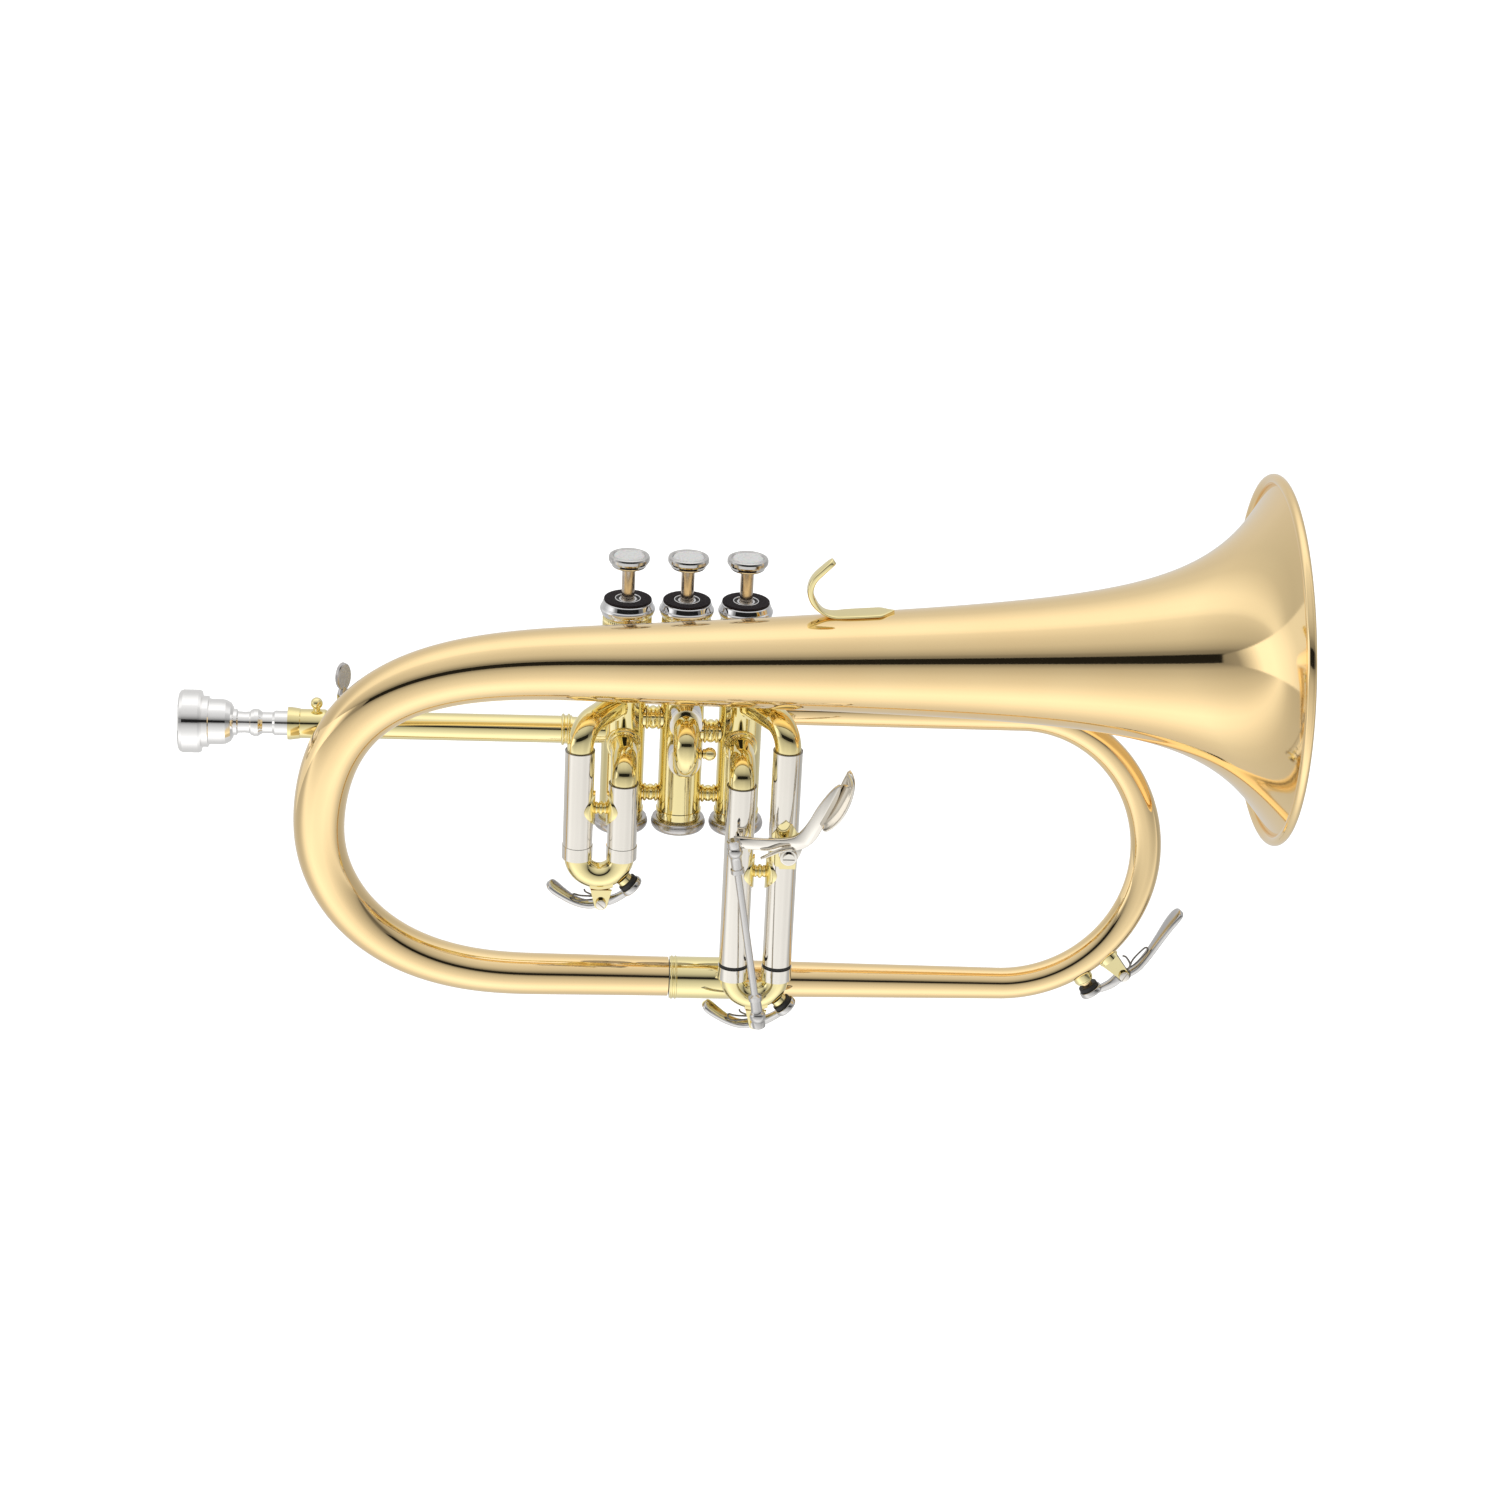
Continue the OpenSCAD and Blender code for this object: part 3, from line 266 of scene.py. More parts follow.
MATERIALS = {
    "rose_brass": polished_metal("rose_brass_lacquer", (0.99, 0.76, 0.41), (0.84, 0.50, 0.20), 0.04, 0.3),
    "yellow_brass": polished_metal("yellow_brass_lacquer", (0.97, 0.86, 0.46), (0.82, 0.56, 0.14), 0.04, 0.3),
    "nickel": polished_metal("nickel_silver", (0.90, 0.865, 0.80), (0.62, 0.56, 0.47), 0.05, 0, 0.02, 0.04),
    "silver": polished_metal("silver_plate", (0.975, 0.97, 0.965), (0.80, 0.78, 0.75), 0.04),
    "chrome_trim": polished_metal("bright_chrome", (0.80, 0.80, 0.81), (0.50, 0.49, 0.49), 0.045),
    "button_nickel": polished_metal("button_nickel", (0.68, 0.67, 0.66), (0.46, 0.45, 0.44), 0.09),
    "rod_nickel": polished_metal("rod_nickel", (0.66, 0.65, 0.64), (0.44, 0.43, 0.42), 0.13),
    "monel": satin_metal("lapped_valve_metal", (0.74, 0.66, 0.56), (0.60, 0.52, 0.43), 0.17, 2600.0, 0.08),
    "spring_steel": satin_metal("spring_wire", (0.30, 0.29, 0.28), (0.18, 0.17, 0.16), 0.24, 3000.0, 0.05),
    "satin_steel": satin_metal("satin_nickelled_steel", (0.70, 0.69, 0.68), (0.56, 0.55, 0.54), 0.34),
    "satin_nickel": satin_metal("satin_nickel", (0.62, 0.60, 0.59), (0.50, 0.48, 0.47), 0.22, 2200.0, 0.12),
    "felt": felt_material(),
    "rubber": rubber_material(),
    "pearl": pearl_material(),
}


def finish_of(node):
    """The material slot the record gives a CAD node."""
    for part in frame["record"]["subparts"]:
        if part.get("node") == node:
            return part.get("material_slot") or part.get("slot")
    return None


# ---------------------------------------------------------------- mesh helpers

def make_piece(name, bm, body, slot, replaced=(), sharp=32.0, finish=None):
    """Welds the mesh, shades it smooth except over sharp edges, and lets it ride on its body."""
    bmesh.ops.remove_doubles(bm, verts=bm.verts, dist=2e-7)
    bmesh.ops.recalc_face_normals(bm, faces=bm.faces)
    for face in bm.faces:
        face.smooth = True
    limit = math.radians(sharp)
    for edge in bm.edges:
        if len(edge.link_faces) == 2 and edge.calc_face_angle(0.0) > limit:
            edge.smooth = False
    mesh = bpy.data.meshes.new(name)
    bm.to_mesh(mesh)
    bm.free()
    piece = bpy.data.objects.new(name, mesh)
    bpy.context.scene.collection.objects.link(piece)
    mesh.materials.append(MATERIALS[finish or slot])
    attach(piece, body)
    if replaced:
        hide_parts(*replaced)
    return piece


def add_rings(bm, rings, wrap=False, cap=False):
    """Skins closed rings of points given in mm; wrap joins the last ring to the first, cap closes both ends."""
    rows = [[bm.verts.new(Vector(p) * MM) for p in ring] for ring in rings]
    count = len(rows[0])
    pairs = list(zip(rows, rows[1:])) + ([(rows[-1], rows[0])] if wrap else [])
    for a, b in pairs:
        for k in range(count):
            j = (k + 1) % count
            bm.faces.new((a[k], a[j], b[j], b[k]))
    if cap:
        bm.faces.new(rows[0][::-1])
        bm.faces.new(rows[-1])


def add_lathe(bm, profile, matrix=Matrix.Identity(4), sides=96, closed=True, wobble=None):
    """Turns (radius, height) points round the matrix's Z axis. wobble(angle, radius, height) gives a new
    radius."""
    rings = []
    for r, z in profile:
        ring = []
        for k in range(sides):
            a = 2 * math.pi * k / sides
            q = wobble(a, r, z) if wobble else r
            ring.append(matrix @ Vector((q * math.cos(a), q * math.sin(a), z)))
        rings.append(ring)
    add_rings(bm, rings, wrap=closed)


def rounded(profile, radius=0.25, steps=3):
    """Rounds the corners of a closed profile."""
    out = []
    n = len(profile)
    for i in range(n):
        p, q, s = (Vector(profile[(i + k) % n]) for k in (-1, 0, 1))
        a, b = p - q, s - q
        if a.length < 1e-6 or b.length < 1e-6 or q.x < 1e-6:
            out.append(tuple(q))
            continue
        cut = min(radius, 0.45 * a.length, 0.45 * b.length)
        u, v = q + a.normalized() * cut, q + b.normalized() * cut
        for k in range(steps + 1):
            t = k / steps
            w = u * (1 - t) ** 2 + q * 2 * t * (1 - t) + v * t * t
            out.append((max(w.x, 0.0), w.y))
    return out


def frames_along(path):
    """Unit direction and a pair of side vectors at each point of a path, without twist."""
    points = [Vector(p) for p in path]
    last = len(points) - 1
    frames, side = [], None
    for i in range(last + 1):
        d = (points[min(i + 1, last)] - points[max(i - 1, 0)]).normalized()
        if side is None:
            side = d.orthogonal().normalized()
        side = (side - d * side.dot(d)).normalized()
        frames.append((points[i], side, d.cross(side)))
    return frames


def add_wire(bm, path, radius, sides=12):
    """Round wire along a path of points in mm, with closed ends. radius may change along it."""
    radii = radius if isinstance(radius, (list, tuple)) else [radius] * len(path)
    rings = []
    for (p, u, v), r in zip(frames_along(path), radii):
        rings.append([p + r * (math.cos(2 * math.pi * k / sides) * u + math.sin(2 * math.pi * k / sides) * v)
                      for k in range(sides)])
    add_rings(bm, rings, cap=True)


def smooth_path(points, per_span=6):
    """Catmull-Rom curve through the points."""
    p = [Vector(q) for q in points]
    p = [2 * p[0] - p[1]] + p + [2 * p[-1] - p[-2]]
    out = []
    for i in range(1, len(p) - 2):
        for k in range(per_span):
            t = k / per_span
            out.append(0.5 * (2 * p[i] + (p[i + 1] - p[i - 1]) * t
                              + (2 * p[i - 1] - 5 * p[i] + 4 * p[i + 1] - p[i + 2]) * t * t
                              + (3 * p[i] - p[i - 1] - 3 * p[i + 1] + p[i + 2]) * t ** 3))
    return out + [p[-2]]


def turned_to(axis):
    """Rotation that takes +Z to the given axis."""
    return Vector(axis).to_track_quat("Z", "Y").to_matrix().to_4x4()


def shift(x, y, z):
    return Matrix.Translation((x, y, z))


# ---------------------------------------------------------------- bell and its bow

LOOP = (shift(0, -29.35, 43.1) @ Matrix.Rotation(math.radians(1.3), 4, "Z")
        @ Matrix.Rotation(math.radians(5.55), 4, "X"))
BELL = LOOP @ Matrix.Rotation(math.radians(90 - 1.33), 4, "Y")
WALL = 0.7
RIM_R, RIM_X, FLARE_START = 75.2, 241.0, -13.5
WALL_END = 240.4
BEAD_R, BEAD_X, BEAD = 73.9, 239.0, 2.1


def flare(x):
    """Outside radius of the bell at a place on its axis: a slow cone and a power law that opens at the rim."""
    x *= 242 / RIM_X
    shape = 16.7 + 0.04 * x + 48.8 * ((343 - 242) / (343 - x)) ** 3.93
    return shape * RIM_R / (16.7 + 0.04 * 242 + 48.8)


def bezier(p, t):
    """Point at t, from 0 to 1, of the cubic curve with four control points."""
    p = [np.array(q, float) for q in p]
    return ((1 - t) ** 3 * p[0] + 3 * t * (1 - t) ** 2 * p[1] + 3 * t * t * (1 - t) * p[2] + t ** 3 * p[3])


def bow_path():
    """Centre line of the bow in the loop's plane, its bends eased so that reflections run on without a kink."""
    lower = [[-62, -149.3], [-136, -148.5], [-148.4, -97.2], [-148.4, -80.3]]
    upper = [[-148.4, -80.3], [-148.4, 5], [-73.4, -1.7], [-13.52, -0.3]]
    raw = [np.array([-2 - 60 * i / 60, -150.2 + 0.9 * i / 60]) for i in range(60)]
    raw += [bezier(lower, i / 200) for i in range(200)]
    raw += [bezier(upper, i / 300) for i in range(301)]
    raw = np.array(raw)
    s = np.concatenate([[0], np.cumsum(np.linalg.norm(np.diff(raw, axis=0), axis=1))])
    grid = np.linspace(0, s[-1], 401)
    even = np.stack([np.interp(grid, s, raw[:, k]) for k in (0, 1)], axis=1)
    width = 12
    kernel = np.exp(-0.5 * (np.arange(-3 * width, 3 * width + 1) / width) ** 2)
    kernel /= kernel.sum()
    pad = 3 * width
    head = even[0] - (even[1] - even[0]) * np.arange(pad, 0, -1)[:, None]
    tail = even[-1] + (even[-1] - even[-2]) * np.arange(1, pad + 1)[:, None]
    long = np.concatenate([head, even, tail])
    eased = np.stack([np.convolve(long[:, k], kernel, mode="valid") for k in (0, 1)], axis=1)
    bend = even - eased
    again = np.concatenate([head, even + bend, tail])
    eased = np.stack([np.convolve(again[:, k], kernel, mode="valid") for k in (0, 1)], axis=1)
    return eased, grid / s[-1]


def build_bell():
    """Bow and flare as one shell, rolled over the rim's wire."""
    sides = 192
    end_r = flare(FLARE_START)
    centres, share = bow_path()
    stations = []
    for i in range(0, len(centres) - 1, 2):
        a, b = centres[max(i - 1, 0)], centres[min(i + 1, len(centres) - 1)]
        d = (b - a) / np.linalg.norm(b - a)
        t = float(share[i])
        r = 8.3 + (end_r - 8.3) * (0.35 * t + 0.65 * t ** 3)
        stations.append((LOOP @ Vector((float(centres[i][0]), 0, float(centres[i][1]))),
                         (LOOP.to_3x3() @ Vector((d[0], 0, d[1]))).normalized(), r))
    axis = (BELL.to_3x3() @ Vector((0, 0, 1))).normalized()
    steps = 150
    for i in range(steps + 1):
        x = FLARE_START + (WALL_END - FLARE_START) * (1 - (1 - i / steps) ** 1.6)
        stations.append((BELL @ Vector((0, 0, x)), axis, flare(x)))
    across = (LOOP.to_3x3() @ Vector((0, 1, 0))).normalized()

    def ring(station, thinner):
        c, d, r = station
        up = across.cross(d).normalized()
        r -= thinner
        return [c + r * (math.cos(2 * math.pi * k / sides) * up + math.sin(2 * math.pi * k / sides) * across)
                for k in range(sides)]

    bm = bmesh.new()
    outer = [ring(s, 0) for s in stations]
    inner = [ring(s, WALL) for s in reversed(stations)]
    add_rings(bm, outer + inner, wrap=True)
    wire = [(BEAD_R + BEAD * math.cos(2 * math.pi * k / 28), BEAD_X + BEAD * math.sin(2 * math.pi * k / 28))
            for k in range(28)]
    add_lathe(bm, wire, BELL, sides)
    return make_piece("bell", bm, "horn", "rose_brass", ("bell_flare", "bell_bow"))


# ---------------------------------------------------------------- crook

CROOK_LOW = (-14.8, -106.8)
CROOK_HIGH_Z = 10.8
CROOK_HALF = math.hypot(CROOK_LOW[0], CROOK_HIGH_Z - CROOK_LOW[1]) / 2
CROOK = (shift(0, CROOK_LOW[0] / 2, (CROOK_HIGH_Z + CROOK_LOW[1]) / 2)
         @ Matrix.Rotation(-math.atan2(-CROOK_LOW[0], CROOK_HIGH_Z - CROOK_LOW[1]), 4, "X"))
BEND_X, SQUARE, VALVE_X3 = 138.3, 3.56, 24.2


def build_crook():
    sides, half = 112, CROOK_HALF
    path = [((30.5 + (BEND_X - 30.5) * i / 40, -half), 7.75 + (6.6 - 7.75) * i / 40) for i in range(41)]
    for i in range(1, 145):
        a = math.radians(-90 + 180 * i / 144)
        lean = SQUARE * (1 - math.cos(a)) if a > 0 else 0
        path.append(((BEND_X + half * math.cos(a) + lean, half * math.sin(a)), 6.6 - 0.3 * i / 144))
    start = VALVE_X3 + 8.6
    for i in range(1, 41):
        x = BEND_X + SQUARE + (start - BEND_X - SQUARE) * i / 40
        path.append(((x, half), 5.9 + 0.4 * (x - VALVE_X3) / (BEND_X + SQUARE - VALVE_X3)))

    def ring(i, thinner):
        a, b = Vector(path[max(i - 1, 0)][0]), Vector(path[min(i + 1, len(path) - 1)][0])
        d = (b - a).normalized()
        c, r = path[i][0], path[i][1] - thinner
        out = []
        for k in range(sides):
            t = 2 * math.pi * k / sides
            side = r * math.cos(t)
            out.append(CROOK @ Vector((c[0] - d.y * side, r * math.sin(t), c[1] + d.x * side)))
        return out

    bm = bmesh.new()
    order = list(range(len(path)))
    add_rings(bm, [ring(i, 0) for i in order] + [ring(i, 0.6) for i in reversed(order)], wrap=True)
    a = math.radians(-57)
    out = Vector((math.cos(a), 0, math.sin(a)))
    foot = CROOK @ shift(BEND_X, 0, 0) @ shift(*(out * (half + 6.1))) @ turned_to(out)
    add_lathe(bm, [(1.4, 0), (3.1, 0), (2.9, 0.9), (2.45, 1.5), (2.3, 2.2), (2.3, 70.4 - half - 6.1),
                   (1.4, 70.4 - half - 6.1)], foot, 48)
    return make_piece("crook_tube", bm, "horn", "rose_brass", ("crook",))


build_bell()
build_crook()


# ---------------------------------------------------------------- strips, plates and turned fittings

def add_strip(bm, path, thick, across=(0, 1, 0), curl=0.0, sides=24):
    """Bar with a rounded flat section along a path of (x, y, z, width) in mm. curl bows the section, and
    thick may be one value or one for each point."""
    points = [Vector(p[:3]) for p in path]
    thicks = thick if isinstance(thick, list) else [thick] * len(path)
    last = len(points) - 1
    rings = []
    for i, (x, y, z, width) in enumerate(path):
        d = (points[min(i + 1, last)] - points[max(i - 1, 0)]).normalized()
        side = Vector(across)
        side = (side - d * side.dot(d)).normalized()
        up = d.cross(side)
        ring = []
        for k in range(sides):
            a = 2 * math.pi * (k + 0.5) / sides
            u = math.copysign(abs(math.cos(a)) ** 0.45, math.cos(a))
            v = math.copysign(abs(math.sin(a)) ** 0.6, math.sin(a))
            ring.append(points[i] + 0.5 * width * u * side + (0.5 * thicks[i] * v + curl * u * u) * up)
        rings.append(ring)
    add_rings(bm, rings, cap=True)


def along(points, per_span=6):
    """Smooth path through (x, y, z, width) points."""
    return [tuple(p) for p in smooth_path(points, per_span)]


def outline(path):
    """Edge of a flat strip along (x, z, width) points."""
    flat = [Vector((p[0], p[1])) for p in path]
    last = len(flat) - 1
    left, right_side = [], []
    for i, p in enumerate(path):
        d = (flat[min(i + 1, last)] - flat[max(i - 1, 0)]).normalized()
        n = Vector((-d.y, d.x)) * p[2] / 2
        left.append(flat[i] + n)
        right_side.append(flat[i] - n)
    return left + right_side[::-1]


def add_plate(bm, edge, y0, y1, bevel=0.3, matrix=Matrix.Identity(4)):
    """Flat plate in the XZ plane from y0 to y1 with bevelled edges."""
    count = len(edge)
    area = sum(p.x * q.y - q.x * p.y for p, q in zip(edge, edge[1:] + edge[:1]))
    turn = 1 if area > 0 else -1
    inner = []
    for i in range(count):
        d = (edge[(i + 1) % count] - edge[i - 1])
        d = d.normalized() if d.length > 1e-9 else Vector((1, 0))
        inner.append(edge[i] + turn * bevel * Vector((-d.y, d.x)))
    rings = []
    for ring, y in ((inner, y0), (edge, y0 + bevel), (edge, y1 - bevel), (inner, y1)):
        rings.append([matrix @ Vector((p.x, y, p.y)) for p in ring])
    add_rings(bm, rings, cap=True)


def add_screw(bm, matrix, r=1.9, h=1.0):
    """Slotted round screw head standing on matrix's Z = 0, its slot cut as a real groove."""
    slot, depth, half = 0.28, 0.55, 24
    for side in (-1, 1):
        edge = []
        start = math.asin(slot / r)
        for k in range(half + 1):
            a = start + (math.pi - 2 * start) * k / half
            edge.append(Vector((r * math.cos(a), side * r * math.sin(a))))
        rings = []
        for shrink, z in ((1.0, h - depth - 0.01), (1.0, h - 0.25), (0.94, h - 0.08), (0.84, h)):
            rings.append([matrix @ Vector((q.x * shrink, side * max(abs(q.y) * shrink, slot), z))
                          for q in edge])
        add_rings(bm, rings, cap=True)
    add_lathe(bm, [(0, 0), (r, 0), (r, h - depth), (0, h - depth)], matrix, 48)


def bead(x, r, half, core):
    """Half-round bead of a turned profile: (radius, height) points from x - half to x + half."""
    return [(core + (r - core) * math.sin(math.pi * k / 8) ** 0.7, x - half + 2 * half * k / 8)
            for k in range(9)]


def globe(r, z, steps):
    """Profile of a ball centred at height z."""
    return [(max(r * math.sin(math.pi * k / steps), 0.0), z - r * math.cos(math.pi * k / steps))
            for k in range(steps + 1)]


def bobbin(length, core, beads):
    """Profile of a turned spindle centred on zero, with beads of (place, radius, half width)."""
    profile = [(0, -length / 2), (core, -length / 2)]
    for place, r, half in beads:
        profile += bead(place, r, half, core)
    return profile + [(core, length / 2), (0, length / 2)]


def add_oval_foot(bm, x, y, z, leg, inward, height, spread_deg, thick=0.75):
    """Thin pointed-oval foot wrapped round the inner side of an upright leg. inward is -1 or 1 along X."""
    rings = []
    for i in range(25):
        u = -0.985 + 1.97 * i / 24
        reach = math.radians(spread_deg) * (1 - abs(u) ** 1.7)
        ring = []
        for r, order in ((leg + thick, range(15)), (leg - 0.05, range(14, -1, -1))):
            for k in order:
                a = -reach + 2 * reach * k / 14
                lift = r if 0 < k < 14 or r < leg else leg + 0.35 * thick
                ring.append(Vector((x + inward * lift * math.cos(a), y + lift * math.sin(a),
                                    z + u * height / 2)))
        rings.append(ring)
    add_rings(bm, rings, cap=True)


SLIDE_Y = -30.5
LEG_R, LEG_HALF = 6.1, 9.1
SLIDE1_X, SLIDE3_X = -33.3, 33.3
VALVES = (-24.2, 0.0, 24.2)


def build_slide_braces():
    for x, z, node in ((SLIDE1_X, -21.4, "slide1_brace"), (SLIDE3_X, -48.6, "slide3_brace")):
        bm = bmesh.new()
        for side in (-1, 1):
            add_oval_foot(bm, x + side * LEG_HALF, SLIDE_Y, z, LEG_R, -side, 15.6, 68)
        place = shift(x, SLIDE_Y, z) @ turned_to((1, 0, 0))
        add_lathe(bm, bobbin(5.6, 2.1, [(-1.8, 2.65, 0.7), (0, 3.0, 1.0), (1.8, 2.65, 0.7)]), place, 48)
        make_piece(node + "_turned", bm, "horn", "yellow_brass", (node,), 40)


def build_casing_braces():
    bm = bmesh.new()
    for x in (-12.1, 12.1):
        place = shift(x, 0, -27.6) @ turned_to((1, 0, 0))
        add_lathe(bm, bobbin(7.3, 2.9, [(-2.3, 3.85, 0.85), (0, 3.55, 1.4), (2.3, 3.85, 0.85)]), place, 64)
    make_piece("casing_bobbins", bm, "horn", "yellow_brass", ("casing_braces",), 40)
    bm = bmesh.new()
    for x, z in ((-12.1, 6.5), (12.1, 0.8)):
        place = shift(x, 0, z) @ turned_to((1, 0, 0))
        walls = bobbin(8.6, 4.3, [(-2.35, 5.2, 0.75), (0, 4.95, 1.5), (2.35, 5.2, 0.75)])[1:-1]
        add_lathe(bm, [(3.6, -4.3)] + walls + [(3.6, 4.3)], place, 72)
    make_piece("crossover_rings", bm, "horn", "yellow_brass", ("crossover_tubes",), 40)
    bm = bmesh.new()
    for x in (VALVES[0], VALVES[2]):
        flange = [(5.42, 7.0), (7.2, 7.0), (7.3, 9.5), (6.9, 10.1), (6.1, 10.5), (5.7, 11.3), (5.42, 11.5)]
        add_lathe(bm, rounded(flange, 0.3), shift(x, 0, -2.2) @ turned_to((0, -1, 0)), 72)
    make_piece("knuckle_flanges", bm, "horn", "yellow_brass", (), 40)


def build_caps():
    """Top caps with their knurled rings, the small rings round the stems, and the bottom caps."""
    top = rounded([(9.75, 52.5), (10.55, 52.5), (10.75, 53.3), (11.1, 53.9), (11.35, 54.9), (11.1, 55.8),
                   (10.75, 56.1), (10.05, 58.1), (9.7, 58.4), (5.35, 58.4), (5.35, 59.4), (4.85, 59.4),
                   (4.75, 57.0), (3.75, 57.0), (3.7, 59.1), (2.95, 59.1), (2.76, 58.9), (2.76, 55.7),
                   (8.8, 55.7), (8.8, 54.65), (9.05, 54.6)],
                  0.22)
    bm = bmesh.new()
    for x in VALVES:
        add_lathe(bm, top, shift(x, 0, 0), 96)
    make_piece("top_caps_turned", bm, "horn", "chrome_trim", ("top_caps",), 40)
    bm = bmesh.new()
    for x in VALVES:
        add_lathe(bm, [(9.72, 47.0), (9.95, 47.1), (9.95, 51.7), (9.72, 51.8)], shift(x, 0, 0), 240,
                  wobble=lambda a, r, z: r + (0.16 * math.sin(60 * a) if r > 9.8 else 0))
    make_piece("knurled_rings", bm, "horn", "yellow_brass", (), 75)
    felt = rounded([(5.45, 58.42), (9.75, 58.42), (9.8, 59.1), (9.55, 59.35), (5.6, 59.35), (5.45, 59.1)],
                   0.15)
    bm = bmesh.new()
    for x in VALVES:
        add_lathe(bm, felt, shift(x, 0, 0), 96)
    make_piece("cap_felts_soft", bm, "horn", "felt", ("cap_felts",), 60)
    low = rounded([(9.05, -38.1), (10.5, -38.1), (10.9, -38.5), (10.75, -38.9), (11.3, -39.6), (11.45, -40.6),
                   (11.2, -41.8), (10.5, -42.8), (9.4, -43.3), (6.4, -43.4), (5.8, -43.0), (1.5, -43.0),
                   (1.5, -41.6), (8.6, -41.6), (8.6, -41.05), (9.05, -41.05)], 0.3)
    bm = bmesh.new()
    for x in VALVES:
        add_lathe(bm, low, shift(x, 0, 0), 96)
    make_piece("bottom_caps_turned", bm, "horn", "nickel", ("bottom_caps",), 40, "satin_nickel")


HOOK_Y = -26.6


def bell_top(x, y=HOOK_Y):
    """Height of the bell's outside above a point of the plan."""
    axis_y, axis_z = LOOP.translation.y + 0.0227 * x, LOOP.translation.z + 0.0232 * x
    return axis_z + math.sqrt(flare(x) ** 2 - (y - axis_y) ** 2)


def build_finger_hook():
    """Finger hook: a rounded bar that runs out into a pointed leaf on the bell."""
    hook = [(57.2, 87.9, 1.6), (56.2, 87.1, 4.6), (53.5, 84.5, 5.8), (49.9, 80.6, 6.0), (48.4, 77.3, 6.0),
            (48.2, 74.2, 6.0), (49.4, 70.8, 6.0), (51.8, 67.6, 6.2), (54.9, 65.5, 6.8)]
    leaf = [(58.6, 8.4), (63.0, 9.5), (68.0, 9.9), (74.0, 9.9), (77.2, 9.4), (80.0, 5.0), (82.6, 0.6)]
    points = [(x, HOOK_Y, z, w) for x, z, w in hook] + [(x, HOOK_Y, bell_top(x) + 0.45, w) for x, w in leaf]
    path = along(points, 5)
    bm = bmesh.new()
    add_strip(bm, path, [1.5 + 1.1 * min(max((p[2] - 66.0) / 4, 0), 1) for p in path])
    make_piece("finger_hook_bent", bm, "horn", "yellow_brass", ("finger_hook",), 50)


SPRING_R = 0.4


def key_coil(start_deg, across):
    """Three turns of a water key's spring about its pivot."""
    points = []
    for k in range(49):
        a = math.radians(start_deg) + 2 * math.pi * 3 * k / 48
        points.append((2.75 * math.cos(a), 1.35 * k / 48 - across, 2.75 * math.sin(a)))
    return points


def add_spring(bm, pivot, anchor, hook_end, across=2.9):
    """Torsion spring: a coil in front of the lever, a long leg on the lever and a short one on the saddle."""
    x, y, z = pivot
    coil = [(x + a, y + b, z + c) for a, b, c in key_coil(200, across)]
    add_wire(bm, coil, SPRING_R, 8)
    loop = [(x - 2.2, y - across + 1.3, z + 0.8), (anchor[0] + 2.4, y - 2.5, anchor[1] - 0.9),
            (anchor[0] + 0.4, y - 2.3, anchor[1] - 0.1), (anchor[0], y - 1.3, anchor[1] + 0.6),
            (anchor[0] + 0.5, y - 0.6, anchor[1] + 1.1), (anchor[0] + 3.2, y - 0.5, anchor[1] + 0.4),
            (x - 3.4, y - 0.9, z + 2.0)]
    add_wire(bm, smooth_path(loop, 6), SPRING_R, 8)
    add_wire(bm, smooth_path([(x - 1.6, y - across, z + 2.2), (x - 3.6, y - across, z + 3.4),
                              (hook_end[0] + 0.6, y - across, hook_end[1] - 0.6),
                              (hook_end[0], y - across + 0.3, hook_end[1] + 0.5)], 6), SPRING_R, 8)


KEY_PIVOT = (1.2, -20.4)
KEY_ANGLE = math.radians(-45)
KEY_SEAT = 16.22
CUP = rounded([(0, 2.9), (4.15, 2.9), (4.15, 2.1), (4.85, 2.1), (4.9, 4.0), (4.5, 4.6), (2.6, 5.0), (0, 5.1)],
              0.3)
PAD = rounded([(0, 0), (3.95, 0), (4.15, 0.3), (4.15, 2.85), (0, 2.85)], 0.25)
HUB = rounded([(0.98, -2.2), (2.4, -2.2), (2.4, 2.2), (0.98, 2.2)], 0.2)


def key_screw_place(x, z, turn_deg):
    """Where a water key's screw head stands on its saddle, with its slot turned."""
    return shift(x, -4.3, z) @ turned_to((0, -1, 0)) @ Matrix.Rotation(math.radians(turn_deg), 4, "Z")


